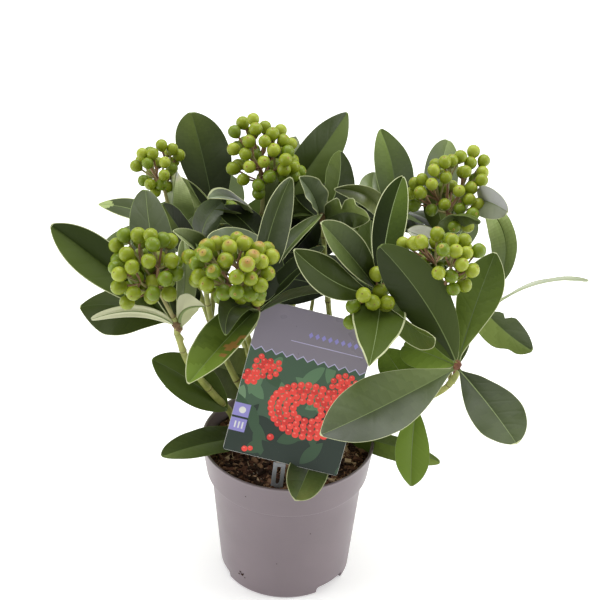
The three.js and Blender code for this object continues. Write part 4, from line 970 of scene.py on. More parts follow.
# the fruit of the side towards the front of each head, placed one by one (millimetres)
FRONT = {
    "A": [(-88, 52, 298), (-81, 53, 295), (-77, 56, 289), (-100, 47, 294), (-93, 44, 296), (-104, 45, 286), (-96, 40, 291), (-85, 40, 292), (-85, 34,
          286), (-94, 34, 279), (-87, 36, 278), (-91, 37, 272)],
    "B": [(-36, 68, 308), (-29, 62, 314), (-41, 61, 305), (-27, 52, 312), (-31, 46, 306), (-41, 50, 298), (-33, 42, 299), (-16, 50, 310), (-21, 43,
          308), (-9, 49, 306), (-15, 41, 303), (-6, 43, 301), (-21, 36, 297), (-30, 36, 293), (-7, 32, 301), (-8, 34, 293), (-2, 40, 292), (2, 50,
          283), (-2, 43, 284), (-17, 33, 288), (-34, 37, 283), (-24, 32, 282), (-41, 44, 287), (-24, 36, 274)],
    "C": [(-104, -37, 282), (-95, -40, 284), (-87, -45, 287), (-80, -41, 282), (-76, -34, 277), (-109, -36, 274), (-101, -53, 278), (-97, -61, 274),
          (-108, -51, 267), (-85, -54, 286), (-87, -60, 278), (-74, -54, 275), (-105, -60, 268), (-106, -57, 257), (-96, -65, 258), (-84, -66, 259),
          (-77, -62, 267), (-71, -54, 266), (-75, -58, 254), (-101, -57, 246)],
    "D": [(-47, -48, 285), (-38, -64, 292), (-34, -49, 289), (-30, -57, 291), (-52, -74, 292), (-40, -71, 287), (-47, -76, 282), (-27, -78, 289),
          (-24, -68, 288), (-19, -63, 282), (-16, -45, 280), (-21, -55, 286), (-13, -55, 281), (-15, -63, 274), (-25, -76, 278), (-33, -80, 281),
          (-56, -68, 273), (-51, -76, 273), (-41, -72, 265), (-33, -77, 269), (-25, -71, 264), (-20, -64, 260), (-19, -72, 271), (-58, -61, 278),
          (-54, -66, 288), (-63, -52, 277), (-21, -59, 253), (-52, -56, 287)],
    "E": [(116, 69, 292), (123, 66, 287), (114, 62, 287), (107, 61, 292), (101, 55, 292), (96, 49, 294), (89, 45, 290), (110, 50, 287), (97, 45, 285),
          (122, 59, 282), (121, 50, 281), (82, 45, 283), (88, 39, 283), (78, 50, 277), (81, 38, 277), (76, 51, 269), (114, 46, 277), (106, 40, 278),
          (78, 51, 260), (97, 36, 270), (89, 37, 265), (107, 36, 267), (113, 38, 273), (119, 41, 268), (115, 28, 268), (103, 21, 262), (112, 28,
          259)],
    "F": [(88, -32, 287), (78, -40, 286), (74, -34, 281), (68, -28, 277), (91, -49, 286), (97, -36, 285), (105, -32, 283), (114, -35, 278), (106, -40,
          279), (103, -49, 276), (89, -53, 272), (110, -46, 270), (97, -50, 268), (106, -45, 259), (99, -50, 259), (99, -45, 283)],
    "G": [(44, -54, 255), (50, -51, 248), (38, -50, 244), (59, -49, 247), (52, -37, 260), (37, -51, 233), (59, -44, 239)],
}
# name, shoot, centre, radii, fruit added at the back and inside, how far they reach down, blush, radius of a fruit
HEADS = [
    ("A", "A", (-90, 51, 282), (17, 17, 19), 11, -0.55, 0.0, 4.0),
    ("B", "B", (-21, 55, 292), (23, 21, 25), 20, -0.75, 0.15, 4.4),
    ("C", "C", (-90, -45, 264), (23, 22, 23), 20, -0.55, 0.0, 4.9),
    ("D", "D", (-38, -54, 270), (27, 24, 22), 20, -0.60, 0.75, 4.9),
    ("E", "E", (100, 55, 270), (25, 21, 26), 12, -0.70, 0.1, 4.4),
    ("F", "F", (92, -34, 268), (25, 20, 19), 14, -0.75, 0.25, 4.6),
    ("G", "G", (48, -43, 245), (14, 12, 14), 3, -0.90, 0.0, 4.9),
    ("J1", "J1", (-58, 110, 217), (18, 18, 13), 24, -0.4, 0.1, 4.5),
    ("J2", "J2", (20, 118, 228), (19, 18, 14), 26, -0.4, 0.2, 4.5),
    ("J3", "J3", (106, 102, 206), (15, 15, 13), 16, -0.4, 0.1, 4.2),
]
berries = {"berries_left": Piece("berries_left", BERRY_MATS), "berries_right": Piece("berries_right", BERRY_MATS)}
stalks = Piece("fruit_stalks", [stalk_mat, stalk_red])


def head_points(name, centre, radii, axis, count, r, rnd, low):
    """Fruit of one head: the placed ones, then others spread over its far side and inside."""
    pts = [np.array(q, float) for q in FRONT.get(name, [])]
    toward = unit(vec(0.0, -0.845, 0.535))
    placed = len(pts)
    tries = 0
    while len(pts) < placed + count and tries < 20000:
        tries += 1
        d = unit(rnd.normal(size=3))
        if d @ axis < low and rnd.random() > 0.06:
            continue
        if placed and d @ toward > -0.05:
            continue
        q = centre + d * (radii - r) * (1.0 if rnd.random() < 0.85 else 0.5 + 0.3 * rnd.random())
        if all(np.linalg.norm(q - w) > (1.98 if tries < 12000 else 1.85) * r for w in pts):
            pts.append(q)
    return np.array(pts), placed


for hi, (name, shoot, centre, radii, count, low, blush, r) in enumerate(HEADS):
    rnd = np.random.default_rng(700 + hi)
    where, axis, _ = SHOOTS[shoot]
    where, centre, axis, radii = np.array(where, float), np.array(centre, float), unit(np.array(axis, float)), np.array(radii, float)
    rise = unit(centre - where)
    pts, placed = head_points(name, centre, radii, rise, count, r, rnd, low)
    foot = where + axis * 4
    start = foot - axis * 4
    if name == "F":
        # this stalk leaves the bough a little below the whorl and rises behind its leaves
        start, foot = vec(101, -60, 198), vec(99, -48, 212)
    neck = centre - rise * (min(radii) * 0.75)
    target = berries["berries_left"] if centre[0] < 0 else berries["berries_right"]
    # the main stalk, then branches, each ending in a little fork of pedicels
    p, s = curve_points([tuple(start), tuple(foot), tuple((foot + neck) / 2 + rise * 1.5), tuple(neck)], 1.0)
    tube(stalks, p, np.linspace(1.5, 1.1, len(p)), 10, 0, ridge=lambda th: 1 + 0.05 * np.sin(5 * th))
    nb = max(3, len(pts) // 5)
    rel = pts - centre
    seeds = rel[rnd.choice(len(rel), nb, replace=False)]
    for _ in range(8):
        own = np.argmin(np.linalg.norm(rel[:, None] - seeds[None], axis=2), axis=1)
        for b in range(nb):
            if (own == b).any():
                seeds[b] = rel[own == b].mean(0)
    for b in range(nb):
        mine = np.where(own == b)[0]
        if not len(mine):
            continue
        fork = neck + (centre + seeds[b] - neck) * 0.52 + vec(0, 0, -1.0)
        bend = neck + (fork - neck) * 0.5 + vec(0, 0, -0.8) + rnd.normal(size=3) * 0.6
        p, s = curve_points([tuple(neck - rise * 2), tuple(neck), tuple(bend), tuple(fork)], 1.2)
        tube(stalks, p, np.linspace(1.0, 0.8, len(p)), 8, int(rnd.random() < 0.5))
        for j in mine:
            out = unit((pts[j] - fork) + 0.35 * (pts[j] - neck) / 3 + rnd.normal(size=3) * 0.5)
            size = r * (0.95 + 0.10 * rnd.random())
            high = (pts[j] - centre)[2] / radii[2]
            # higher fruit are more often pale and lower ones more often deep: painted light from above and painted
            # shade below, over a random mix of tones
            tone = rnd.choice([0, 1, 2], p=[0.5, 0.4, 0.1] if high < 0.2 else [0.55, 0.15, 0.30])
            red = blush * max(0.0, high + 0.25 * rnd.normal()) if blush else 0.0
            berry(target, pts[j], out, size, rnd, int(tone), blush=min(0.8, red))
            end = pts[j] - out * size * 0.96
            bend = (fork + end) / 2 + rnd.normal(size=3) * 0.5 + vec(0, 0, -0.5)
            p, s = curve_points([tuple(fork), tuple(bend), tuple(end)], 1.6)
            tube(stalks, p, np.linspace(0.62, 0.72, len(p)), 6, int(rnd.random() < 0.6))

# ----------------------------------------------------------------------- pot
POT_H = 105.2
SOIL_Z = 96.3
pot_mat = material("pot_satin", lin(120, 107, 112), rough=0.36, rough_span=0.05, rough_scale=35, spec=0.62,
                   mottles=[(0.30, lin(111, 99, 104)), (0.70, lin(121, 108, 113))], mottle_scale=14, mottle_detail=6,
                   bumps=[(900, 3, 0.00010, 0.25), (38, 2, 0.0005, 0.10)])


def rounded(points, radii, n=5):
    """A closed profile with its corners rounded by the given radii."""
    out = []
    m = len(points)
    for i in range(m):
        a, b, c = (np.array(points[(i + k) % m], float) for k in (-1, 0, 1))
        r = radii[i]
        if r <= 0:
            out.append(b)
            continue
        u, w = unit(a - b), unit(c - b)
        r = min(r, 0.45 * np.linalg.norm(a - b), 0.45 * np.linalg.norm(c - b))
        for k in range(n + 1):
            t = k / n
            out.append((1 - t) ** 2 * (b + u * r) + 2 * t * (1 - t) * b + t * t * (b + w * r))
    return out


def lathe(piece, profile, sides, slot, wobble=None):
    """Turns an open profile from axis to axis into a closed solid. Its first and last points are on the axis."""
    prof = [p for p in profile[1:-1]]
    th = np.arange(sides) * 2 * math.pi / sides
    R = np.array([p[0] for p in prof])
    Z = np.array([p[1] for p in prof])
    v = np.stack([R[:, None] * np.cos(th), R[:, None] * np.sin(th), Z[:, None] * np.ones(sides)], -1).reshape(-1, 3)
    n = len(prof)
    f = grid_faces(n, sides, wrap=True)
    v = np.concatenate([v, [[0, 0, profile[0][1]], [0, 0, profile[-1][1]]]])
    k = np.arange(sides)
    k2 = (k + 1) % sides
    c0 = np.stack([np.full(sides, n * sides), k2, k, np.full(sides, -1)], 1)
    e = (n - 1) * sides
    c1 = np.stack([np.full(sides, n * sides + 1), e + k, e + k2, np.full(sides, -1)], 1)
    piece.add(v, np.concatenate([f, c0, c1]), slot)


outer = [(0, 0), (17, 0), (19, 4.6), (35, 4.6), (37, 0), (43.8, 0), (44.6, 1.2), (51.95, 79.2), (54.9, 80.0), (55.35, 81.6),
         (58.55, 103.6), (58.8, 104.2), (58.8, 105.2), (57.0, 105.2), (53.7, 81.5), (50.5, 78.3), (42.6, 8.6), (40.4, 7.0), (0, 7.0)]
corner = [0, 0.7, 1.2, 1.2, 0.7, 0.5, 0.6, 0.8, 0.7, 0.7, 0.3, 0.2, 0.55, 0.6, 1.5, 1.5, 1.2, 1.2, 0]
profile = [np.array(outer[0], float)]
for i in range(1, len(outer) - 1):
    a, b, c = (np.array(outer[i + k], float) for k in (-1, 0, 1))
    r = corner[i]
    u, w = unit(a - b), unit(c - b)
    r = min(r, 0.45 * np.linalg.norm(a - b), 0.45 * np.linalg.norm(c - b))
    for k in range(5):
        t = k / 4
        profile.append((1 - t) ** 2 * (b + u * r) + 2 * t * (1 - t) * b + t * t * (b + w * r))
profile.append(np.array(outer[-1], float))
# long straight walls get more rings, so that the cuts below stay clean
dense = [profile[0]]
for a, b in zip(profile[:-1], profile[1:]):
    n = max(1, int(np.linalg.norm(b - a) // 9))
    for k in range(1, n + 1):
        dense.append(a + (b - a) * k / n)
pot_piece = Piece("pot_body", [pot_mat])
lathe(pot_piece, dense, 144, 0)
pot = pot_piece.build(slot="pot_plastic", replaces=["pot"], sharp=32)


def cutter(name, verts, faces):
    me = bpy.data.meshes.new(name)
    me.from_pydata([tuple(x * MM for x in v) for v in verts], [], faces)
    o = bpy.data.objects.new(name, me)
    bpy.context.scene.collection.objects.link(o)
    return o


cutters = []
for a in (-43, 77, -163):
    # an arched drainage notch through the foot ring
    w, h, x0, x1 = 12.5, 5.4, 36.0, 50.0
    outline = [(-w, -2.0), (w, -2.0), (w, h - 2.2)]
    outline += [(w - 2.2 * (1 - math.cos(t)), h - 2.2 + 2.2 * math.sin(t)) for t in np.linspace(0.2, math.pi / 2, 5)]
    outline += [(-w + 2.2 * (1 - math.cos(t)), h - 2.2 + 2.2 * math.sin(t)) for t in np.linspace(math.pi / 2, 0.2, 5)]
    outline += [(-w, h - 2.2)]
    n = len(outline)
    ca, sa = math.cos(a * RAD), math.sin(a * RAD)
    vs = [(x * ca - y * sa, x * sa + y * ca, z) for x in (x0, x1) for y, z in outline]
    fs = [list(range(n))[::-1], list(range(n, 2 * n))] + [[i, (i + 1) % n, n + (i + 1) % n, n + i] for i in range(n)]
    cutters.append(cutter("notch", vs, fs))
for i in range(4):
    a = (45 + 90 * i) * RAD
    n = 28
    cx, cy = 26 * math.cos(a), 26 * math.sin(a)
    vs = [(cx + 4 * math.cos(2 * math.pi * k / n), cy + 4 * math.sin(2 * math.pi * k / n), z) for z in (2.5, 9.5) for k in range(n)]
    fs = [list(range(n))[::-1], list(range(n, 2 * n))] + [[k, (k + 1) % n, n + (k + 1) % n, n + k] for k in range(n)]
    cutters.append(cutter("hole", vs, fs))
bpy.context.view_layer.objects.active = pot
for c in cutters:
    mod = pot.modifiers.new("cut", "BOOLEAN")
    mod.operation, mod.object, mod.solver = "DIFFERENCE", c, "EXACT"
dg = bpy.context.evaluated_depsgraph_get()
cut = bpy.data.meshes.new_from_object(pot.evaluated_get(dg))
pot.modifiers.clear()
pot.data = cut
for c in cutters:
    bpy.data.objects.remove(c)
pot.data.set_sharp_from_angle(angle=32 * RAD)

# ------------------------------------------------------------ growing medium
soil_mat = material("growing_mix", lin(52, 34, 24), rough=0.92, spec=0.2,
                    mottles=[(0.25, lin(38, 24, 18)), (0.50, lin(72, 48, 38)), (0.72, lin(112, 82, 64))],
                    mottle_scale=420, mottle_detail=6, bumps=[(500, 6, 0.0012, 0.9)])
rnd = np.random.default_rng(11)


def wave3(x, y, z, seed):
    return (np.sin(2.1 * x + 1.7 * seed) + np.sin(2.6 * y + 2.9 * seed + 1.1 * x) + np.sin(2.3 * z + 0.7 * seed + 1.3 * y)) / 3


def soil_height(x, y):
    """The uneven top of the growing medium, a little lower at the pot's wall."""
    h = SOIL_Z - 1.4 * (0.5 + 0.5 * wave3(x / 13, y / 13, 0, 3))
    for f, a, s in ((1 / 4.1, 0.55, 1.3), (1 / 2.3, 0.35, 4.1), (1 / 1.3, 0.22, 7.7)):
        h = h + a * (np.sin(x * f * 2 + s) * np.cos(y * f * 1.7 - s) + np.sin((x + y) * f * 1.3 + 2 * s) * 0.6)
    r = np.hypot(x, y)
    return h - 1.3 * np.clip((r - 44) / 11, 0, 1) ** 2


soil = Piece("root_ball_mix", [soil_mat])
rings, sides = 62, 150
rad = np.linspace(0, 55.0, rings + 1)[1:]
th = np.arange(sides) * 2 * math.pi / sides
X, Y = rad[:, None] * np.cos(th), rad[:, None] * np.sin(th)
X = X + 0.35 * rnd.normal(size=X.shape) * (rad < 54)[:, None]
Y = Y + 0.35 * rnd.normal(size=Y.shape) * (rad < 54)[:, None]
Z = soil_height(X, Y) + 0.28 * rnd.normal(size=X.shape)
top = np.stack([X, Y, Z], -1)[::-1].reshape(-1, 3)     # from the rim inwards
under = [(52.2, 88.0), (50.0, 80.2), (49.4, 77.6), (41.5, 9.6), (39.6, 7.5)]
low = np.concatenate([np.stack([r * np.cos(th), r * np.sin(th), np.full(sides, z)], -1) for r, z in under[::-1]])
v = np.concatenate([low, top, [[0, 0, 7.5], [0, 0, float(soil_height(0.0, 0.0))]]])
n = len(under) + rings
f = grid_faces(n, sides, wrap=True)
k = np.arange(sides)
k2 = (k + 1) % sides
c0 = np.stack([np.full(sides, n * sides), k2, k, np.full(sides, -1)], 1)
e = (n - 1) * sides
c1 = np.stack([np.full(sides, n * sides + 1), e + k, e + k2, np.full(sides, -1)], 1)
soil.add(v, np.concatenate([f, c0, c1]), 0)
soil.build(slot="growing_medium", replaces=["root_ball"], sharp=180)

bit_mats = [material("mix_dark", lin(50, 33, 24), rough=0.9, spec=0.25, bumps=[(700, 4, 0.0004, 0.7)]),
            material("mix_brown", lin(94, 62, 47), rough=0.85, spec=0.25, bumps=[(700, 4, 0.0004, 0.7)]),
            material("mix_tan", lin(138, 104, 80), rough=0.8, spec=0.25, bumps=[(700, 4, 0.0003, 0.7)]),
            material("mix_straw", lin(190, 162, 132), rough=0.75, spec=0.3, bumps=[(700, 4, 0.0002, 0.6)]),
            material("mix_white", lin(205, 196, 180), rough=0.85, spec=0.25, bumps=[(700, 4, 0.0002, 0.6)])]
bits = Piece("root_ball_bits", bit_mats)
CUBE = np.array([(x, y, z) for x in (-1, 1) for y in (-1, 1) for z in (-1, 1)], float)
CUBE_F = np.array([(0, 1, 3, 2), (4, 6, 7, 5), (0, 4, 5, 1), (2, 3, 7, 6), (0, 2, 6, 4), (1, 5, 7, 3)])


def spin(rnd, tilt=0.5):
    a, b, c = rnd.random() * 6.28, rnd.normal() * tilt, rnd.normal() * tilt
    rz = np.array([[math.cos(a), -math.sin(a), 0], [math.sin(a), math.cos(a), 0], [0, 0, 1]])
    rx = np.array([[1, 0, 0], [0, math.cos(b), -math.sin(b)], [0, math.sin(b), math.cos(b)]])
    ry = np.array([[math.cos(c), 0, math.sin(c)], [0, 1, 0], [-math.sin(c), 0, math.cos(c)]])
    return rz @ rx @ ry


def chip(x, y, z, size, slot):
    """A broken chip of bark: a flat uneven block with its corners knocked about."""
    v = CUBE * np.array(size) * (1 + 0.28 * rnd.normal(size=(8, 3)))
    v = v @ spin(rnd, 0.45).T + np.array([x, y, z])
    bits.add(v, CUBE_F, slot)


for i in range(2600):
    r, a = 54.4 * math.sqrt(rnd.random()), rnd.random() * 2 * math.pi
    x, y = r * math.cos(a), r * math.sin(a)
    big = rnd.random() < 0.16
    s = (1.5 + 1.3 * rnd.random()) if big else (0.5 + 0.8 * rnd.random())
    if r + s > 54.6:
        continue
    z = float(soil_height(x, y)) + 0.25 * s
    slot = int(rnd.choice([0, 1, 2, 3, 4], p=[0.38, 0.39, 0.18, 0.04, 0.01] if x < 18 else [0.30, 0.32, 0.25, 0.12, 0.01]))
    chip(x, y, z, (s, s * (0.45 + 0.4 * rnd.random()), s * (0.25 + 0.25 * rnd.random())), slot)
for i in range(520):
    # straw-like fibres lying on and half in the mix
    r, a = 52.5 * math.sqrt(rnd.random()), rnd.random() * 2 * math.pi
    x, y = r * math.cos(a), r * math.sin(a)
    L, b, bend = 2.5 + 7.5 * rnd.random(), rnd.random() * 6.28, rnd.normal() * 0.5
    s = np.linspace(-0.5, 0.5, 6)
    px = x + L * s * math.cos(b) - bend * L * s ** 2 * math.sin(b)
    py = y + L * s * math.sin(b) + bend * L * s ** 2 * math.cos(b)
    rr = np.hypot(px, py)
    k = np.minimum(1.0, 53.6 / np.maximum(rr, 1e-6))
    px, py = px * k, py * k
    pz = soil_height(px, py) + 0.55 + 0.8 * rnd.random() * (1 - (2 * s) ** 2) + rnd.normal() * 0.5 * s
    w = 0.16 + 0.22 * rnd.random()
    tube(bits, np.stack([px, py, pz], 1), np.full(6, w) * np.array([0.6, 1, 1, 1, 0.9, 0.5]), 4, int(rnd.choice([1, 2, 3], p=[0.3, 0.42, 0.28])))
# a few grains that stuck to the pot's side near its foot
for a, z, s in ((-131, 14.2, 0.55), (-129, 12.4, 0.75), (-127.5, 13.6, 0.45), (-132.5, 11.6, 0.5), (-126, 10.8, 0.35), (-96, 33, 0.3), (-70, 60, 0.28), (-118, 92.5, 0.3)):
    if z < 80:
        r = 44.6 + (51.95 - 44.6) * (z - 1.2) / 78.0
    else:
        r = 55.35 + (58.55 - 55.35) * (z - 81.6) / 22.0
    v = CUBE * np.array([s * 0.35, s, s * 0.8]) * (1 + 0.2 * rnd.normal(size=(8, 3)))
    ca, sa = math.cos(a * RAD), math.sin(a * RAD)
    v = v @ np.array([[ca, sa, 0], [-sa, ca, 0], [0, 0, 1]]) + np.array([(r + 0.1) * ca, (r + 0.1) * sa, z])
    bits.add(v, CUBE_F, 0)
bits.build(slot="growing_medium", smooth=False)

# ---------------------------------------------------------------- plant card
CARD_W, CARD_H, CARD_T = 77.5, 105.0, 0.8
FOOT = (-4.7, -42.8, 116.1)
card_turn = Matrix.Translation(FOOT) @ Matrix.Rotation(1.8 * RAD, 4, "Z") @ Matrix.Rotation(-17.6 * RAD, 4, "X") @ Matrix.Rotation(13.5 * RAD, 4, "Y")
CT = np.array(card_turn)


def on_card(p):
    p = np.asarray(p, float)
    return p @ CT[:3, :3].T + CT[:3, 3]


def flat(name, rgb, rough=0.3, spec=0.5):
    return material(name, lin(*rgb), rough=rough, rough_span=0.04, rough_scale=40, spec=spec, bumps=[(60, 2, 0.0004, 0.06)])


CARD = {
    "stock": flat("card_stock", (226, 226, 222)), "header": flat("card_header", (134, 127, 140)),
    "ground": flat("card_ground", (66, 92, 70)), "deep": flat("card_deep", (34, 50, 40)),
    "leaf_a": flat("card_leaf_a", (92, 126, 92)), "leaf_b": flat("card_leaf_b", (112, 142, 108)),
    "leaf_c": flat("card_leaf_c", (56, 84, 58)), "red": flat("card_red", (242, 72, 62)), "red_b": flat("card_red_b", (220, 54, 48)),
    "pink": flat("card_pink", (246, 126, 112)), "lilac": flat("card_lilac", (148, 142, 208)), "line": flat("card_line", (188, 182, 216)),
}
CARD_ORDER = list(CARD)
C_ = {k: i for i, k in enumerate(CARD_ORDER)}
card = Piece("card_printed", [CARD[k] for k in CARD_ORDER])
FACE = -CARD_T / 2


def prism(outline, y0, y1, slot):
    """A closed flat prism on the card: a star-shaped outline in the card's own x, z, from depth y0 to y1."""
    o = np.asarray(outline, float)
    n = len(o)
    c = o.mean(0)
    ring = lambda y: np.stack([o[:, 0], np.full(n, y), o[:, 1]], 1)
    v = np.concatenate([ring(y0), ring(y1), [[c[0], y0, c[1]], [c[0], y1, c[1]]]])
    k = np.arange(n)
    k2 = (k + 1) % n
    area = 0.5 * np.sum(o[:, 0] * np.roll(o[:, 1], -1) - np.roll(o[:, 0], -1) * o[:, 1])
    side = np.stack([k, k2, n + k2, n + k], 1)
    a = np.stack([np.full(n, 2 * n), k2, k, np.full(n, -1)], 1)
    b = np.stack([np.full(n, 2 * n + 1), n + k, n + k2, np.full(n, -1)], 1)
    f = np.concatenate([side, a, b])
    if (area > 0) != (y1 < y0):
        f = np.where(f[:, 3:4] >= 0, f[:, ::-1], np.stack([f[:, 2], f[:, 1], f[:, 0], f[:, 3]], 1))
    card.add(on_card(v), f, slot)


def band(xs, lo, hi, y0, y1, slot):
    """A closed strip on the card between two lines over xs."""
    xs, lo, hi = (np.asarray(a, float) for a in (xs, lo, hi))
    n = len(xs)
    v = np.concatenate([np.stack([xs, np.full(n, y), z], 1) for y in (y0, y1) for z in (lo, hi)])
    k = np.arange(n - 1)
    A, B, Cc, Dd = k, n + k, 2 * n + k, 3 * n + k
    f = [np.stack([A, A + 1, B + 1, B], 1), np.stack([Cc, Dd, Dd + 1, Cc + 1], 1),
         np.stack([A, Cc, Cc + 1, A + 1], 1), np.stack([B, B + 1, Dd + 1, Dd], 1),
         np.array([[0, n, 3 * n, 2 * n], [n - 1, 3 * n - 1, 4 * n - 1, 2 * n - 1][:1] + [3 * n - 1, 4 * n - 1, 2 * n - 1]])]
    f = np.concatenate(f)
    if y1 < y0:
        f = f[:, ::-1]
    card.add(on_card(v), f, slot)


def ellipse(cx, cz, a, b, turn=0.0, n=22, egg=0.0):
    t = np.arange(n) * 2 * math.pi / n
    x, z = a * np.cos(t) * (1 + egg * np.cos(t)), b * np.sin(t)
    c, s = math.cos(turn * RAD), math.sin(turn * RAD)
    return np.stack([cx + c * x - s * z, cz + s * x + c * z], 1)


def leaf_outline(cx, cz, L, w, turn, n=13):
    """A pointed oval that starts at (cx, cz) and runs out along its turn."""
    t = np.linspace(0, 1, n)
    h = w / 2 * np.sin(math.pi * t) ** 0.8 * (1 - 0.15 * t)
    x = np.concatenate([t * L, (t * L)[-2:0:-1]])
    z = np.concatenate([h, -h[-2:0:-1]])
    c, s = math.cos(turn * RAD), math.sin(turn * RAD)
    return np.stack([cx + c * x - s * z, cz + s * x + c * z], 1)


def clipped(o):
    o = np.asarray(o, float)
    return np.stack([np.clip(o[:, 0], -CARD_W / 2 + 0.2, CARD_W / 2 - 0.2), np.clip(o[:, 1], 0.2, CARD_H - 0.2)], 1)


W2, R_ = CARD_W / 2, 1.2
edge = [(sx * (W2 - R_) + R_ * math.cos(t), zc + R_ * math.sin(t))
        for sx, zc, t0 in ((1, R_, -90), (1, CARD_H - R_, 0), (-1, CARD_H - R_, 90), (-1, R_, 180))
        for t in np.linspace(t0, t0 + 90, 5) * RAD]
prism(edge, CARD_T / 2, -CARD_T / 2, C_["stock"])
inset = [(x * (W2 - 0.15) / W2, CARD_H / 2 + (z - CARD_H / 2) * (CARD_H / 2 - 0.15) / (CARD_H / 2)) for x, z in edge]
prism(inset, FACE + 0.02, FACE - 0.03, C_["ground"])

HEAD_Z = CARD_H * 0.69
teeth = 11
zx = np.linspace(-W2 + 0.15, W2 - 0.15, teeth * 2 + 1)
zz = HEAD_Z + np.where(np.arange(len(zx)) % 2 == 0, 1.5, -1.5)
crnd = np.random.default_rng(5)
# soft darker foot of the picture, then overlapping oval leaves
for lo_z, hi_z, lay in ((0.15, 30, 0.035), ):
    xs = np.linspace(-W2 + 0.15, W2 - 0.15, 25)
    band(xs, np.full(25, lo_z), hi_z + 4 * np.sin(xs / 9) + 2 * np.sin(xs / 3.7), FACE - 0.02, FACE - lay, C_["deep"])
leaves_on_card = []
for row in range(6):
    for col in range(7):
        cx = -36 + 12.2 * col + 4.5 * (row % 2) + crnd.normal() * 1.6
        cz = 3 + 12.0 * row + crnd.normal() * 1.4
        if cz > HEAD_Z - 12:
            continue
        leaves_on_card.append((cx, cz, 17 + 6 * crnd.random(), 7.2 + 2.4 * crnd.random(), crnd.choice([35, 60, 80, 110, 140]) + crnd.normal() * 9))
for i, (cx, cz, L, w, turn) in enumerate(leaves_on_card):
    o = leaf_outline(cx, cz, L, w, turn)
    o[:, 1] = np.minimum(o[:, 1], HEAD_Z - 2.4)
    o = clipped(o)
    lay = 0.04 + 0.004 * (i % 12)
    low = cz < 26
    what = crnd.choice(["leaf_c", "deep"], p=[0.65, 0.35]) if low else crnd.choice(["leaf_a", "leaf_b", "leaf_c"], p=[0.45, 0.25, 0.30])
    prism(o, FACE - 0.02, FACE - lay, C_[what])
# fruit set in a garland across the picture, with two small rosettes above it
dots = []
for ring in range(4):
    r = 7.2 + 3.7 * ring
    n_ring = int(round(2 * math.pi * r * 1.16 / 4.3))
    for k in range(n_ring):
        aa = (k + 0.5 * (ring % 2)) / n_ring * 2 * math.pi
        dots.append((8.5 + 1.32 * r * math.cos(aa), 38.5 + 0.96 * r * math.sin(aa), 2.15 + 0.28 * crnd.random()))
for cx, cz in ((-24.5, 62.0), (27.5, 61.0), (-33.0, 52.5)):
    dots.append((cx, cz, 2.1))
    for k in range(6):
        a = (60 * k + 12) * RAD
        dots.append((cx + 4.1 * math.cos(a), cz + 3.8 * math.sin(a), 2.05))
    for k in range(11):
        a = (360 / 11 * k) * RAD
        if cz + 7.7 * math.sin(a) < HEAD_Z - 3.6 and cx > -30:
            dots.append((cx + 8.0 * math.cos(a), cz + 7.2 * math.sin(a), 1.9))
dots.append((-10.5, 15.5, 2.3))
dots.append((-25.0, 3.6, 2.0))
dots.append((-21.4, 4.8, 1.7))
for i, (cx, cz, r) in enumerate(dots):
    o = clipped(ellipse(cx, cz, r, r, n=18))
    prism(o, FACE - 0.02, FACE - 0.095 - 0.003 * (i % 9), C_["red"] if crnd.random() < 0.72 else C_["red_b"])
    prism(clipped(ellipse(cx - 0.28 * r, cz + 0.34 * r, 0.34 * r, 0.26 * r, n=10)), FACE - 0.05, FACE - 0.130, C_["pink"])
# grey header with its zigzag edge, a lilac line along it and a row of plain diamonds
band(zx, zz, np.full(len(zx), CARD_H - 0.15), FACE - 0.02, FACE - 0.14, C_["header"])
band(zx, zz - 0.38, zz + 0.38, FACE - 0.02, FACE - 0.165, C_["line"])
for k in range(9):
    cx, s = 2 + 4.3 * (k - 1), 1.55
    prism([(cx - s, 89), (cx, 89 + 1.35 * s), (cx + s, 89), (cx, 89 - 1.35 * s)], FACE - 0.05, FACE - 0.16, C_["lilac"])
xs = np.linspace(-14, 34, 3)
band(xs, np.full(3, 82.4), np.full(3, 82.9), FACE - 0.05, FACE - 0.16, C_["line"])
# two plain lilac squares at the left edge
for cz in (24.6, 14.2):
    w, h = 10.6, 9.0
    prism([(-W2 + 0.15, cz), (-W2 + 0.15 + w, cz), (-W2 + 0.15 + w, cz + h), (-W2 + 0.15, cz + h)], FACE - 0.02, FACE - 0.15, C_["lilac"])
prism(ellipse(-W2 + 6.0, 24.6 + 4.5, 2.3, 2.3, n=20), FACE - 0.06, FACE - 0.18, C_["stock"])
for k in range(3):
    cx = -W2 + 3.6 + 2.4 * k
    prism([(cx - 0.5, 14.2 + 2.2), (cx + 0.5, 14.2 + 2.2), (cx + 0.5, 14.2 + 6.8), (cx - 0.5, 14.2 + 6.8)], FACE - 0.06, FACE - 0.18, C_["stock"])
# the back: plain stock with a green foot and three pale bands
back = CARD_T / 2
xs = np.linspace(-W2 + 0.15, W2 - 0.15, 3)
band(xs, np.full(3, CARD_H - 22), np.full(3, CARD_H - 0.15), back - 0.02, back + 0.05, C_["header"])
band(xs, np.full(3, 0.15), np.full(3, 16), back - 0.02, back + 0.05, C_["leaf_a"])
for cz in (34, 48, 62):
    band(np.linspace(-30, 30, 3), np.full(3, cz), np.full(3, cz + 1.0), back - 0.02, back + 0.05, C_["leaf_b"])
card.build(slot="card_print", replaces=["plant_card"], smooth=False)

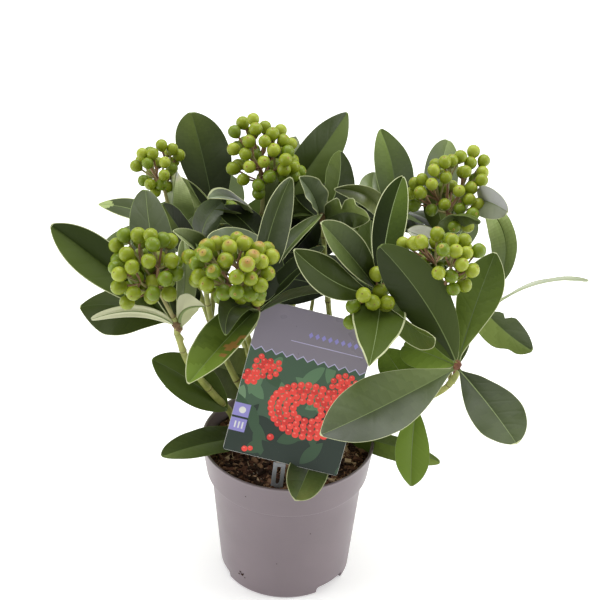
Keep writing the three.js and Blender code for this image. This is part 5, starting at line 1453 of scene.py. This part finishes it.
# -------------------------------------------------------------------- stake
stake_turn = Matrix.Translation(FOOT) @ Matrix.Rotation(-5 * RAD, 4, "X") @ Matrix.Rotation(5 * RAD, 4, "Y")
ST = np.array(stake_turn)
stake_mat = material("stake_clear", lin(196, 200, 206), rough=0.22, rough_span=0.04, rough_scale=50, spec=0.5, transmission=0.55, ior=1.46,
                     bumps=[(300, 2, 0.0001, 0.2)])
stake = Piece("stake_clear_plate", [stake_mat])
outline = [(-6, -0.6), (6, -0.6), (6, -12), (6, -22.6), (1.6, -33.6), (-1.6, -33.6), (-6, -22.6), (-6, -12)]
hole = [(-1.7, -3.4), (1.7, -3.4), (1.9, -9), (1.7, -15.5), (0.6, -17.2), (-0.6, -17.2), (-1.7, -15.5), (-1.9, -9)]


def densify(o, n):
    o = np.array(o + o[:1], float)
    s = np.concatenate([[0], np.cumsum(np.linalg.norm(np.diff(o, axis=0), axis=1))])
    t = np.linspace(0, s[-1], n, endpoint=False)
    return np.stack([np.interp(t, s, o[:, k]) for k in range(2)], 1)


outline = [(0.68 * a, b) for a, b in outline]
hole = [(0.72 * a, b) for a, b in hole]
A, B = densify(outline, 64), densify(hole, 64)
mid_ring = A * 0.93 + B * 0.07
n = 64
rings2 = [(A, 0.34), (mid_ring, 0.5), (B, 0.42), (B, -0.42), (mid_ring, -0.5), (A, -0.34)]
v = np.concatenate([np.stack([o[:, 0], np.full(n, y), o[:, 1]], 1) for o, y in rings2])
f = []
for k in range(6):
    a, b = k * n, ((k + 1) % 6) * n
    i = np.arange(n)
    f.append(np.stack([a + i, a + (i + 1) % n, b + (i + 1) % n, b + i], 1))
v = v @ ST[:3, :3].T + ST[:3, 3]
stake.add(v, np.concatenate(f), 0)
stake.build(slot="clear_stake", replaces=["card_stake"], sharp=35)

# ------------------------------------------------------- joined plant pieces
for g, nodes in GROUPS.items():
    leaf_pieces[g].build(slot="foliage", replaces=list(nodes), sharp=55)
bark.build(slot="green_bark", replaces=list(LIMBS), sharp=60)
for g in berries:
    berries[g].build(slot="foliage", sharp=40)
stalks.build(slot="green_bark", sharp=60)

# ------------------------------------------------------ floor, light, camera
floor_mat = material("floor_pale", (0.95, 0.95, 0.95, 1), rough=0.7, rough_span=0.04, rough_scale=4, spec=0.2, bumps=[(30, 2, 0.0003, 0.05)])
floor_shader = next(n for n in floor_mat.node_tree.nodes if n.type == "BSDF_PRINCIPLED")
floor_shader.inputs["Emission Color"].default_value = (1, 1, 1, 1)
floor_shader.inputs["Emission Strength"].default_value = 0.32
me = bpy.data.meshes.new("floor")
me.from_pydata([(-6, -6, -0.0004), (6, -6, -0.0004), (6, 6, -0.0004), (-6, 6, -0.0004)], [], [(0, 1, 2, 3)])
me.materials.append(floor_mat)
floor = bpy.data.objects.new("floor", me)
bpy.context.scene.collection.objects.link(floor)

world = bpy.data.worlds.new("studio")
bpy.context.scene.world = world
world.use_nodes = True
wt = world.node_tree
wt.nodes.clear()
wout = wt.nodes.new("ShaderNodeOutputWorld")
soft = wt.nodes.new("ShaderNodeBackground")
soft.inputs["Color"].default_value = (1.0, 0.995, 1.0, 1)
soft.inputs["Strength"].default_value = 0.48
white = wt.nodes.new("ShaderNodeBackground")
white.inputs["Color"].default_value = (1, 1, 1, 1)
white.inputs["Strength"].default_value = 1.0
path = wt.nodes.new("ShaderNodeLightPath")
mixer = wt.nodes.new("ShaderNodeMixShader")
wt.links.new(path.outputs["Is Camera Ray"], mixer.inputs["Fac"])
wt.links.new(soft.outputs["Background"], mixer.inputs[1])
wt.links.new(white.outputs["Background"], mixer.inputs[2])
wt.links.new(mixer.outputs["Shader"], wout.inputs["Surface"])


def area_light(name, place, aim, size, power, colour=(1, 1, 1)):
    data = bpy.data.lights.new(name, "AREA")
    data.shape, data.size, data.size_y = "RECTANGLE", size[0], size[1]
    data.energy, data.color = power, colour
    o = bpy.data.objects.new(name, data)
    bpy.context.scene.collection.objects.link(o)
    o.location = place
    o.rotation_mode = "QUATERNION"
    o.rotation_quaternion = (Vector(aim) - Vector(place)).to_track_quat("-Z", "Y")
    return o


area_light("top_soft", (0.0, 0.45, 1.45), (0, 0, 0.2), (1.8, 1.2), 24)
area_light("left_soft", (-1.3, -0.35, 0.6), (0, 0, 0.16), (0.8, 1.2), 9)
area_light("right_soft", (1.3, 0.0, 0.6), (0, 0, 0.16), (0.8, 1.2), 10)

cam_data = bpy.data.cameras.new("camera")
cam = bpy.data.objects.new("camera", cam_data)
bpy.context.scene.collection.objects.link(cam)
bpy.context.scene.camera = cam
PITCH, ROLL = 0.5646991, 0.0323258
fwd = Vector((0, math.cos(PITCH), -math.sin(PITCH)))
up0 = Vector((0, math.sin(PITCH), math.cos(PITCH)))
right0 = Vector((1, 0, 0))
right = math.cos(ROLL) * right0 + math.sin(ROLL) * up0
upv = -math.sin(ROLL) * right0 + math.cos(ROLL) * up0
m = Matrix((right, upv, -fwd)).transposed().to_4x4()
m.translation = Vector((0.00509, -1.0304, 0.8685))
cam.matrix_world = m
cam_data.sensor_width = 36.0
cam_data.lens = 112.79476
cam_data.clip_start, cam_data.clip_end = 0.05, 30.0
cam_data.dof.use_dof = False

bpy.context.scene.view_settings.view_transform = "Standard"
bpy.context.scene.view_settings.look = "None"
